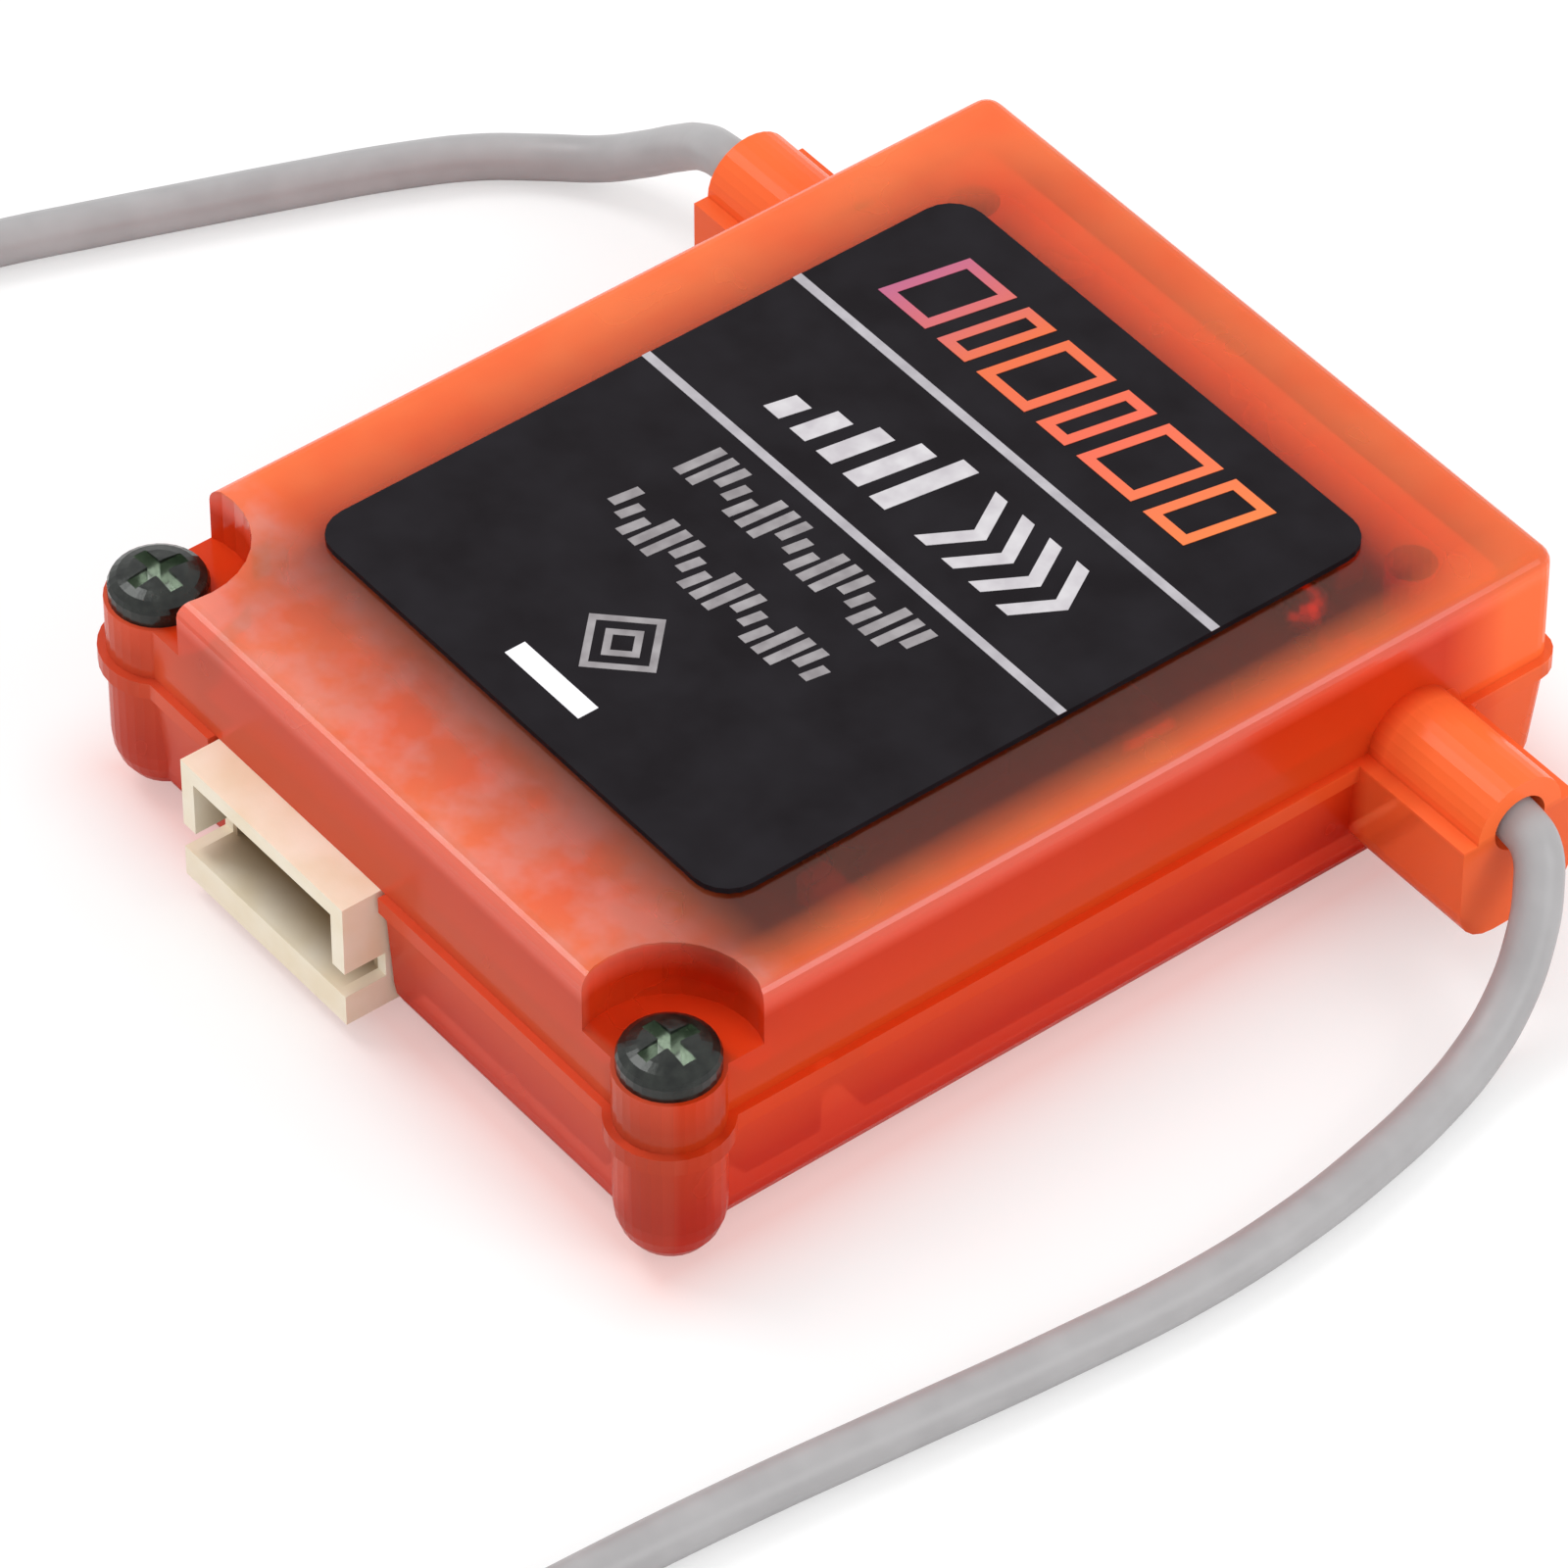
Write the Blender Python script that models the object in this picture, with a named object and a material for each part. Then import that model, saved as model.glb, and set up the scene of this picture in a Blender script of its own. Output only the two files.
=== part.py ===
"""A small 2.4 GHz satellite receiver for a radio-controlled model.

Two moulded shells, held by a screw in each front corner, close over a circuit board. A three-pin
side-entry header looks out of the front wall, and an aerial lead leaves each side through a boss.

Metres, +Z up. The front, with the header, faces -Y. The origin is the centre of the flat base.
"""
import math

import bmesh
import bpy
from mathutils import Vector

MM = 0.001

# Case
CASE_WIDTH = 20.0 * MM
CASE_LENGTH = 25.0 * MM
LOWER_HEIGHT = 4.0 * MM
UPPER_HEIGHT = 3.0 * MM
WALL = 0.9 * MM
ROOF = 0.9 * MM
FLOOR = 0.9 * MM
CORNER_RADIUS = 0.5 * MM
TOP_ROUNDING = 0.4 * MM
BASE_ROUNDING = 1.2 * MM
DRAFT = 0.15 * MM
RIM_PROUD = 0.2 * MM
RIM_HEIGHT = 0.45 * MM

# Screw posts in the two front corners
SCREW_FROM_SIDE = 0.75 * MM
SCREW_FROM_FRONT = 0.85 * MM
POST_RADIUS = 1.25 * MM
POST_FOOT_RADIUS = 0.45 * MM
POST_FOOT_LIFT = 0.3 * MM
POCKET_RADIUS = 2.1 * MM
POCKET_DEPTH = 1.55 * MM
POCKET_WALL = 0.8 * MM
LOWER_BOSS_RADIUS = 2.0 * MM

# Case screws
SHANK_RADIUS = 0.6 * MM
SHANK_LENGTH = 4.2 * MM
SCREW_CLEARANCE = 0.15 * MM
HEAD_RADIUS = 1.15 * MM
HEAD_EDGE = 0.35 * MM
HEAD_HEIGHT = 0.75 * MM
RECESS_SPAN = 1.45 * MM
RECESS_WIDTH = 0.34 * MM
RECESS_DEPTH = 0.42 * MM

# Label
LABEL_WIDTH = 14.8 * MM
LABEL_LENGTH = 18.3 * MM
LABEL_THICKNESS = 0.15 * MM
LABEL_CORNER = 0.9 * MM
LABEL_FROM_FRONT = 3.65 * MM

# Circuit board
BOARD_THICKNESS = 0.8 * MM
BOARD_CLEARANCE = 0.2 * MM
BOARD_CORNER = 0.3 * MM
LEDGE_SIZE = 1.2 * MM
LEDGE_FROM_REAR = 1.0 * MM
LEDGE_FROM_FRONT = 4.6 * MM
STOP_RADIUS = 0.6 * MM

# Three-pin header, under the front edge of the board
HEADER_WIDTH = 6.0 * MM
HEADER_HEIGHT = 3.5 * MM
HEADER_DEPTH = 5.0 * MM
HEADER_PROUD = 1.05 * MM
HEADER_OFFSET = -2.9 * MM
HEADER_WALL = 0.45 * MM
HEADER_LIP = 0.85 * MM
HEADER_MOUTH_DEPTH = 3.6 * MM
HEADER_GAP = 0.15 * MM
SIDE_SLOT_DEPTH = 1.1 * MM
SIDE_SLOT_HEIGHT = 0.7 * MM
PIN_COUNT = 3
PIN_PITCH = 1.5 * MM
PIN_SIZE = 0.45 * MM
PIN_SETBACK = 0.9 * MM
PIN_GAP = 0.05 * MM
PIN_TAIL_REACH = 1.0 * MM
PIN_FOOT_LENGTH = 0.8 * MM
PIN_FOOT_THICKNESS = 0.25 * MM
TAB_THICKNESS = 0.2 * MM
TAB_LENGTH = 1.4 * MM
TAB_FOOT = 1.0 * MM
TAB_DROP = 1.3 * MM
TAB_FROM_FRONT = 2.4 * MM

# Parts on the board
CHIP_HEIGHT = 0.9 * MM
RADIO_CHIP_SIDE = 4.0 * MM
CONTROLLER_SIDE = 5.0 * MM
MEMORY_LENGTH = 3.0 * MM
MEMORY_WIDTH = 2.0 * MM
MEMORY_HEIGHT = 0.75 * MM
SWITCH_LENGTH = 2.0 * MM
SWITCH_WIDTH = 1.3 * MM
SWITCH_HEIGHT = 0.7 * MM
CRYSTAL_LENGTH = 3.2 * MM
RADIO_CRYSTAL_WIDTH = 2.5 * MM
RADIO_CRYSTAL_HEIGHT = 0.7 * MM
CLOCK_CRYSTAL_WIDTH = 1.5 * MM
CLOCK_CRYSTAL_HEIGHT = 0.8 * MM
PASSIVE_LENGTH = 1.6 * MM
PASSIVE_WIDTH = 0.8 * MM
CAPACITOR_HEIGHT = 0.8 * MM
RESISTOR_HEIGHT = 0.45 * MM
LIGHT_HEIGHT = 0.6 * MM
MATCHING_LENGTH = 1.0 * MM
MATCHING_WIDTH = 0.6 * MM
MATCHING_HEIGHT = 0.6 * MM
MATCHING_FROM_JOINT = 2.0 * MM
SMOOTHING_LENGTH = 3.5 * MM
SMOOTHING_WIDTH = 2.8 * MM
SMOOTHING_HEIGHT = 1.9 * MM
REGULATOR_LENGTH = 2.9 * MM
REGULATOR_WIDTH = 1.3 * MM
REGULATOR_HEIGHT = 1.0 * MM
LEG_WIDTH = 0.4 * MM
LEG_REACH = 0.55 * MM
LEG_THICKNESS = 0.2 * MM
LEG_SPACING = 0.95 * MM
BLOCK_CHAMFER = 0.08 * MM
CAN_CHAMFER = 0.15 * MM

# Aerial bosses, one on each side
BOSS_FROM_REAR = 4.2 * MM
BOSS_REACH = 3.7 * MM
BOSS_TUBE_RADIUS = 1.2 * MM
BOSS_BLOCK_WIDTH = 3.2 * MM
BOSS_BLOCK_DROP = 2.9 * MM
BOSS_BLOCK_ROUNDING = 1.0 * MM

# Aerial leads
LEAD_DIAMETER = 1.13 * MM
LEAD_GAP = 0.15 * MM
LEAD_INSIDE = 2.7 * MM
LEAD_LENGTH = 120.0 * MM
LEAD_POINT_SPACING = 2.4 * MM
FINE_STEPS = 8
LEAD_LIFT = 0.02 * MM
NOTCH_GAP = 0.35 * MM
COIL_OUTER_RADIUS = 7.8 * MM
COIL_INNER_RADIUS = 4.0 * MM
TIP_DIAMETER = 0.5 * MM
TIP_OUTER_RADIUS = 3.45 * MM
TIP_INNER_RADIUS = 2.45 * MM
TIP_LENGTH = 31.0 * MM
TIP_POINTS_PER_TURN = 14
TOUCH_GAP = 0.3 * MM
JOINT_RADIUS = 0.7 * MM
JOINT_HEIGHT = 0.55 * MM

# Roundness
CURVE_STEPS = 32
SMALL_CURVE_STEPS = 16
CORNER_STEPS = 5

# Values that follow from the sizes above
CASE_HEIGHT = LOWER_HEIGHT + UPPER_HEIGHT
HALF_WIDTH = CASE_WIDTH / 2
HALF_LENGTH = CASE_LENGTH / 2
FRONT = -HALF_LENGTH
SCREW_X = HALF_WIDTH - SCREW_FROM_SIDE
SCREW_Y = FRONT + SCREW_FROM_FRONT
SEAT_Z = CASE_HEIGHT - POCKET_DEPTH
BOARD_BOTTOM = LOWER_HEIGHT
BOARD_TOP = BOARD_BOTTOM + BOARD_THICKNESS
BOARD_HALF_WIDTH = HALF_WIDTH - WALL - BOARD_CLEARANCE
BOARD_HALF_LENGTH = HALF_LENGTH - WALL - BOARD_CLEARANCE
HEADER_TOP = BOARD_BOTTOM
HEADER_BOTTOM = HEADER_TOP - HEADER_HEIGHT
HEADER_FRONT = FRONT - HEADER_PROUD
HEADER_REAR = HEADER_FRONT + HEADER_DEPTH
MOUTH_BOTTOM = HEADER_BOTTOM + HEADER_LIP
MOUTH_TOP = HEADER_TOP - HEADER_WALL
PIN_Z = (MOUTH_BOTTOM + MOUTH_TOP) / 2
BOSS_Y = HALF_LENGTH - BOSS_FROM_REAR
BOSS_END = HALF_WIDTH + BOSS_REACH
LEAD_Z = LOWER_HEIGHT
LEAD_RADIUS = LEAD_DIAMETER / 2
LEAD_LIE = LEAD_RADIUS + LEAD_LIFT
LEAD_START = HALF_WIDTH - LEAD_INSIDE
JOINT_X = LEAD_START - NOTCH_GAP - JOINT_RADIUS
COIL_FIRST_RADIUS = COIL_OUTER_RADIUS - LEAD_RADIUS
COIL_LAST_RADIUS = COIL_INNER_RADIUS + LEAD_RADIUS

# Where each part's centre sits on the board, along X and along Y: the edge that the distance is
# taken from (-1 left or front, 0 the middle, 1 right or rear) and the distance
COMPONENT_PLACES = {
    "radio_chip": ((0, 1.2 * MM), (1, -6.2 * MM)),
    "microcontroller": ((0, 3.9 * MM), (0, -2.6 * MM)),
    "memory_chip": ((0, -3.6 * MM), (0, 0.6 * MM)),
    "aerial_switch": ((0, 1.2 * MM), (1, -2.1 * MM)),
    "voltage_regulator": ((0, -3.4 * MM), (0, -4.6 * MM)),
    "radio_crystal": ((0, -3.6 * MM), (1, -6.2 * MM)),
    "clock_crystal": ((1, -2.5 * MM), (0, 2.6 * MM)),
    "status_light": ((-1, 2.3 * MM), (-1, 4.8 * MM)),
    "smoothing_capacitor": ((1, -4.3 * MM), (-1, 5.0 * MM)),
    "capacitor_1": ((-1, 2.3 * MM), (1, -2.0 * MM)),
    "capacitor_2": ((1, -3.3 * MM), (1, -1.8 * MM)),
    "capacitor_3": ((0, -1.4 * MM), (0, 2.4 * MM)),
    "capacitor_4": ((1, -1.5 * MM), (-1, 5.6 * MM)),
    "capacitor_5": ((0, -0.6 * MM), (-1, 4.2 * MM)),
    "capacitor_6": ((-1, 2.0 * MM), (0, 2.2 * MM)),
    "resistor_1": ((0, -3.4 * MM), (-1, 3.0 * MM)),
    "resistor_2": ((0, 2.6 * MM), (-1, 4.8 * MM)),
    "resistor_3": ((-1, 2.3 * MM), (0, -1.4 * MM)),
    "resistor_4": ((0, 3.9 * MM), (0, 1.2 * MM)),
}

# The leads' routes outside the case, chosen by hand, from the boss to the coil
ROUTE_RIGHT = [
    (BOSS_END, BOSS_Y, LEAD_Z),
    (14.3 * MM, 8.25 * MM, 3.8 * MM),
    (14.85 * MM, 7.9 * MM, 3.1 * MM),
    (15.35 * MM, 7.25 * MM, 2.2 * MM),
    (15.8 * MM, 6.3 * MM, 1.35 * MM),
    (16.2 * MM, 5.1 * MM, 0.8 * MM),
    (16.65 * MM, 3.5 * MM, LEAD_LIE),
    (17.15 * MM, 1.3 * MM, LEAD_LIE),
    (17.5 * MM, -1.2 * MM, LEAD_LIE),
    (17.6 * MM, -4.0 * MM, LEAD_LIE),
    (17.35 * MM, -7.5 * MM, LEAD_LIE),
    (16.9 * MM, -11.5 * MM, LEAD_LIE),
    (16.45 * MM, -15.5 * MM, LEAD_LIE),
    (16.15 * MM, -19.5 * MM, LEAD_LIE),
    (16.0 * MM, -23.0 * MM, LEAD_LIE),
    (16.0 * MM, -26.5 * MM, LEAD_LIE),
]
ROUTE_LEFT = [
    (-BOSS_END, BOSS_Y, LEAD_Z),
    (-14.6 * MM, 8.35 * MM, 3.9 * MM),
    (-15.8 * MM, 8.6 * MM, 3.3 * MM),
    (-17.0 * MM, 8.7 * MM, 2.4 * MM),
    (-18.1 * MM, 8.55 * MM, 1.55 * MM),
    (-19.2 * MM, 8.1 * MM, 0.9 * MM),
    (-20.35 * MM, 7.25 * MM, 0.62 * MM),
    (-21.35 * MM, 6.05 * MM, LEAD_LIE),
    (-22.25 * MM, 4.35 * MM, LEAD_LIE),
    (-23.25 * MM, 1.95 * MM, LEAD_LIE),
    (-24.15 * MM, -0.35 * MM, LEAD_LIE),
    (-25.0 * MM, -2.55 * MM, LEAD_LIE),
    (-25.85 * MM, -4.85 * MM, LEAD_LIE),
    (-26.8 * MM, -8.2 * MM, LEAD_LIE),
    (-27.35 * MM, -12.0 * MM, LEAD_LIE),
    (-27.5 * MM, -16.0 * MM, LEAD_LIE),
    (-27.4 * MM, -20.5 * MM, LEAD_LIE),
]
COIL_CENTRE_RIGHT = (23.2 * MM, -26.5 * MM)
COIL_CENTRE_LEFT = (-20.2 * MM, -20.5 * MM)


def clear_scene():
    for item in list(bpy.data.objects):
        bpy.data.objects.remove(item, do_unlink=True)


def make_material(name, colour, roughness, metallic=0.0):
    material = bpy.data.materials.new(name)
    material.use_nodes = True
    shader = material.node_tree.nodes["Principled BSDF"]
    shader.inputs["Base Color"].default_value = (*colour, 1.0)
    shader.inputs["Roughness"].default_value = roughness
    shader.inputs["Metallic"].default_value = metallic
    return material


def add_object(name, data, material=None, location=(0, 0, 0)):
    item = bpy.data.objects.new(name, data)
    bpy.context.scene.collection.objects.link(item)
    item.location = location
    if material is not None:
        data.materials.append(material)
    return item


def mesh_from(bm, name):
    bmesh.ops.recalc_face_normals(bm, faces=bm.faces)
    mesh = bpy.data.meshes.new(name)
    bm.to_mesh(mesh)
    bm.free()
    mesh.shade_smooth()
    mesh.set_sharp_from_angle(angle=math.radians(30))
    return mesh


def rounded_outline(half_x, half_y, radius, steps=CORNER_STEPS):
    """Points of a rounded rectangle about the origin, counter-clockwise."""
    points = []
    for corner, (side_x, side_y) in enumerate(((1, 1), (-1, 1), (-1, -1), (1, -1))):
        for step in range(steps + 1):
            angle = math.radians(90 * (corner + step / steps))
            points.append((
                side_x * (half_x - radius) + radius * math.cos(angle),
                side_y * (half_y - radius) + radius * math.sin(angle),
            ))
    return points


def loft_mesh(name, rings):
    """A closed solid through outlines of equal length, each with its height, from the bottom up."""
    bm = bmesh.new()
    levels = [[bm.verts.new((x, y, z)) for x, y in outline] for outline, z in rings]
    for lower, upper in zip(levels, levels[1:]):
        for index in range(len(lower)):
            following = (index + 1) % len(lower)
            bm.faces.new((lower[index], lower[following], upper[following], upper[index]))
    bm.faces.new(list(reversed(levels[0])))
    bm.faces.new(levels[-1])
    return mesh_from(bm, name)


def box_mesh(name, low, high):
    outline = [(low[0], low[1]), (high[0], low[1]), (high[0], high[1]), (low[0], high[1])]
    return loft_mesh(name, [(outline, low[2]), (outline, high[2])])


def lathe_mesh(name, profile, steps=CURVE_STEPS):
    """A solid of revolution about Z. The profile runs from the axis back to the axis."""
    bm = bmesh.new()
    turn = 2 * math.pi / steps
    rings = []
    for radius, z in profile:
        if radius == 0:
            rings.append([bm.verts.new((0, 0, z))] * steps)
        else:
            rings.append([
                bm.verts.new((radius * math.cos(turn * i), radius * math.sin(turn * i), z))
                for i in range(steps)
            ])
    for lower, upper in zip(rings, rings[1:]):
        for i in range(steps):
            j = (i + 1) % steps
            corners = []
            for vertex in (lower[i], lower[j], upper[j], upper[i]):
                if vertex not in corners:
                    corners.append(vertex)
            bm.faces.new(corners)
    return mesh_from(bm, name)


def turned_ring_mesh(name, inner, outer, height, rounding, steps=CURVE_STEPS):
    """A ring turned about Z, standing on z = 0, with its section's corners cut off."""
    section = [
        (inner + rounding, 0), (outer - rounding, 0), (outer, rounding), (outer, height - rounding),
        (outer - rounding, height), (inner + rounding, height), (inner, height - rounding), (inner, rounding),
    ]
    bm = bmesh.new()
    turn = 2 * math.pi / steps
    turns = [
        [bm.verts.new((r * math.cos(turn * i), r * math.sin(turn * i), z)) for r, z in section]
        for i in range(steps)
    ]
    for i in range(steps):
        for j in range(len(section)):
            here, there = turns[i], turns[(i + 1) % steps]
            k = (j + 1) % len(section)
            bm.faces.new((here[j], there[j], there[k], here[k]))
    return mesh_from(bm, name)


def extrusion_mesh(name, section, start, end):
    """A (y, z) section drawn out along X."""
    bm = bmesh.new()
    near = [bm.verts.new((start, y, z)) for y, z in section]
    far = [bm.verts.new((end, y, z)) for y, z in section]
    for i in range(len(section)):
        j = (i + 1) % len(section)
        bm.faces.new((near[i], near[j], far[j], far[i]))
    bm.faces.new(list(reversed(near)))
    bm.faces.new(far)
    return mesh_from(bm, name)


def add_tool(name, mesh, location=(0, 0, 0)):
    """A guide solid that only shapes other objects."""
    tool = add_object(name, mesh, location=location)
    tool.hide_render = True
    tool.display_type = "WIRE"
    return tool


def combine(target, tool, operation):
    modifier = target.modifiers.new(tool.name, "BOOLEAN")
    modifier.operation = operation
    modifier.solver = "EXACT"
    modifier.object = tool


def cut(target, name, mesh, location=(0, 0, 0), turn=0.0):
    tool = add_tool(name, mesh, location)
    tool.rotation_euler = (0, 0, turn)
    combine(target, tool, "DIFFERENCE")


def join(target, name, mesh, location=(0, 0, 0)):
    combine(target, add_tool(name, mesh, location), "UNION")


def cylinder_mesh(name, radius, low, high, steps=CURVE_STEPS):
    return lathe_mesh(name, [(0, low), (radius, low), (radius, high), (0, high)], steps)


def screw_places():
    return (("left", -SCREW_X), ("right", SCREW_X))


def cut_screw_holes(shell, name, low, high):
    """Clearance holes whose facets fall between those of the pockets and columns round them."""
    for side, x in screw_places():
        hole = cylinder_mesh(f"{name}_{side}", SHANK_RADIUS + SCREW_CLEARANCE, low, high)
        cut(shell, f"{name}_{side}", hole, (x, SCREW_Y, 0), math.pi / CURVE_STEPS)


def lead_bore_mesh(name):
    """The passage that both leads share, along X through the bosses and side walls."""
    radius = LEAD_RADIUS + LEAD_GAP
    turn = 2 * math.pi / CURVE_STEPS
    section = [
        (BOSS_Y + radius * math.cos(turn * i), LEAD_Z + radius * math.sin(turn * i))
        for i in range(CURVE_STEPS)
    ]
    return extrusion_mesh(name, section, -BOSS_END - WALL, BOSS_END + WALL)


def add_cavity(name, low, high, post_radius):
    """The hollow of one shell, which leaves a column of the given radius round each screw."""
    inner_corner = max(CORNER_RADIUS - WALL / 2, CORNER_RADIUS / 2)
    outline = rounded_outline(HALF_WIDTH - WALL, HALF_LENGTH - WALL, inner_corner)
    cavity = add_tool(name, loft_mesh(name, [(outline, low), (outline, high)]))
    for side, x in screw_places():
        column = cylinder_mesh(f"{name}_column_{side}", post_radius, low - WALL, high + WALL)
        cut(cavity, f"{name}_column_{side}", column, (x, SCREW_Y, 0))
    return cavity


def make_upper_case(material):
    rings = []
    for step in range(CORNER_STEPS + 1):
        angle = math.radians(90 * step / CORNER_STEPS)
        inset = TOP_ROUNDING * (1 - math.cos(angle))
        z = CASE_HEIGHT - TOP_ROUNDING + TOP_ROUNDING * math.sin(angle)
        radius = max(CORNER_RADIUS - inset, CORNER_RADIUS / 4)
        rings.append((rounded_outline(HALF_WIDTH - inset, HALF_LENGTH - inset, radius), z))
    rings.insert(0, (rounded_outline(HALF_WIDTH, HALF_LENGTH, CORNER_RADIUS), LOWER_HEIGHT))
    shell = add_object("upper_case", loft_mesh("upper_case", rings), material)

    for side, x in screw_places():
        post = cylinder_mesh(f"upper_post_{side}", POST_RADIUS, LOWER_HEIGHT, SEAT_Z + HEAD_EDGE)
        join(shell, f"upper_post_{side}", post, (x, SCREW_Y, 0))
    for side, sign in (("left", -1), ("right", 1)):
        section = [
            (BOSS_Y + BOSS_TUBE_RADIUS * math.cos(math.pi * i / SMALL_CURVE_STEPS),
             LEAD_Z + BOSS_TUBE_RADIUS * math.sin(math.pi * i / SMALL_CURVE_STEPS))
            for i in range(SMALL_CURVE_STEPS + 1)
        ]
        inner_end, outer_end = sorted((sign * (HALF_WIDTH - WALL / 2), sign * BOSS_END))
        join(shell, f"upper_boss_{side}", extrusion_mesh(f"upper_boss_{side}", section, inner_end, outer_end))

    pocket_column = POCKET_RADIUS + POCKET_WALL
    cavity = add_cavity("upper_cavity", LOWER_HEIGHT - WALL, CASE_HEIGHT - ROOF, pocket_column)
    combine(shell, cavity, "DIFFERENCE")
    for side, x in screw_places():
        pocket = cylinder_mesh(f"screw_pocket_{side}", POCKET_RADIUS, SEAT_Z, CASE_HEIGHT + WALL)
        cut(shell, f"screw_pocket_{side}", pocket, (x, SCREW_Y, 0))
    for side, x in (("left", -1), ("right", 1)):
        stop_end = CASE_HEIGHT - ROOF / 2
        stop = cylinder_mesh(f"board_stop_{side}", STOP_RADIUS, BOARD_TOP, stop_end, SMALL_CURVE_STEPS)
        place = (x * (BOARD_HALF_WIDTH - LEDGE_SIZE), BOARD_HALF_LENGTH - LEDGE_SIZE, 0)
        join(shell, f"board_stop_{side}", stop, place)
    cut(shell, "upper_lead_bore", lead_bore_mesh("upper_lead_bore"))
    cut_screw_holes(shell, "screw_hole", LOWER_HEIGHT - WALL, SEAT_Z + WALL)


def make_lower_case(material):
    rings = []
    for step in range(CORNER_STEPS + 1):
        angle = math.radians(90 * (1 - step / CORNER_STEPS))
        inset = DRAFT + BASE_ROUNDING * (1 - math.cos(angle))
        z = BASE_ROUNDING * (1 - math.sin(angle))
        radius = CORNER_RADIUS + inset / 2
        rings.append((rounded_outline(HALF_WIDTH - inset, HALF_LENGTH - inset, radius), z))
    plain = rounded_outline(HALF_WIDTH, HALF_LENGTH, CORNER_RADIUS)
    proud = rounded_outline(HALF_WIDTH + RIM_PROUD, HALF_LENGTH + RIM_PROUD, CORNER_RADIUS + RIM_PROUD)
    rings.append((plain, LOWER_HEIGHT - RIM_HEIGHT - RIM_PROUD))
    rings.append((proud, LOWER_HEIGHT - RIM_HEIGHT))
    rings.append((proud, LOWER_HEIGHT))
    shell = add_object("lower_case", loft_mesh("lower_case", rings), material)

    foot_profile = [(0, POST_FOOT_LIFT), (POST_FOOT_RADIUS, POST_FOOT_LIFT)]
    for step in range(1, CORNER_STEPS + 1):
        angle = math.radians(90 * step / CORNER_STEPS)
        radius = POST_FOOT_RADIUS + (POST_RADIUS - POST_FOOT_RADIUS) * math.sin(angle)
        foot_profile.append((radius, POST_FOOT_LIFT + BASE_ROUNDING * (1 - math.cos(angle))))
    foot_profile += [
        (POST_RADIUS, LOWER_HEIGHT - RIM_HEIGHT - RIM_PROUD),
        (POST_RADIUS + RIM_PROUD, LOWER_HEIGHT - RIM_HEIGHT),
        (POST_RADIUS + RIM_PROUD, LOWER_HEIGHT),
        (0, LOWER_HEIGHT),
    ]
    for side, x in screw_places():
        join(shell, f"lower_post_{side}", lathe_mesh(f"lower_post_{side}", foot_profile), (x, SCREW_Y, 0))

    half_block = BOSS_BLOCK_WIDTH / 2
    block_bottom = LOWER_HEIGHT - BOSS_BLOCK_DROP
    for side, sign in (("left", -1), ("right", 1)):
        section = [(BOSS_Y + half_block, LOWER_HEIGHT), (BOSS_Y - half_block, LOWER_HEIGHT)]
        for corner, start in ((-1, 180), (1, 270)):
            centre_y = BOSS_Y + corner * (half_block - BOSS_BLOCK_ROUNDING)
            centre_z = block_bottom + BOSS_BLOCK_ROUNDING
            for step in range(CORNER_STEPS + 1):
                angle = math.radians(start + 90 * step / CORNER_STEPS)
                section.append((
                    centre_y + BOSS_BLOCK_ROUNDING * math.cos(angle),
                    centre_z + BOSS_BLOCK_ROUNDING * math.sin(angle),
                ))
        inner_end, outer_end = sorted((sign * (HALF_WIDTH - WALL / 2), sign * BOSS_END))
        join(shell, f"lower_boss_{side}", extrusion_mesh(f"lower_boss_{side}", section, inner_end, outer_end))

    combine(shell, add_cavity("lower_cavity", FLOOR, LOWER_HEIGHT + WALL, LOWER_BOSS_RADIUS), "DIFFERENCE")
    ledge_places = (
        ("rear_left", -1, HALF_LENGTH - WALL - LEDGE_FROM_REAR),
        ("rear_right", 1, HALF_LENGTH - WALL - LEDGE_FROM_REAR),
        ("front_left", -1, FRONT + WALL + LEDGE_FROM_FRONT),
        ("front_right", 1, FRONT + WALL + LEDGE_FROM_FRONT),
    )
    for place, sign, y in ledge_places:
        x_ends = sorted((sign * (HALF_WIDTH - WALL / 2), sign * (HALF_WIDTH - WALL - LEDGE_SIZE)))
        low = (x_ends[0], y - LEDGE_SIZE / 2, FLOOR / 2)
        high = (x_ends[1], y + LEDGE_SIZE / 2, LOWER_HEIGHT)
        join(shell, f"ledge_{place}", box_mesh(f"ledge_{place}", low, high))
    low = (HEADER_OFFSET - HEADER_WIDTH / 2 - HEADER_GAP, FRONT - WALL, HEADER_BOTTOM - HEADER_GAP)
    high = (HEADER_OFFSET + HEADER_WIDTH / 2 + HEADER_GAP, HEADER_REAR + HEADER_GAP, LOWER_HEIGHT + WALL)
    cut(shell, "header_opening", box_mesh("header_opening", low, high))
    cut(shell, "lower_lead_bore", lead_bore_mesh("lower_lead_bore"))
    cut_screw_holes(shell, "pilot_hole", SEAT_Z - SHANK_LENGTH - SCREW_CLEARANCE, LOWER_HEIGHT + WALL)


def make_label(material):
    outline = rounded_outline(LABEL_WIDTH / 2, LABEL_LENGTH / 2, LABEL_CORNER)
    mesh = loft_mesh("label", [(outline, 0), (outline, LABEL_THICKNESS)])
    add_object("label", mesh, material, (0, FRONT + LABEL_FROM_FRONT + LABEL_LENGTH / 2, CASE_HEIGHT))


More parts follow.
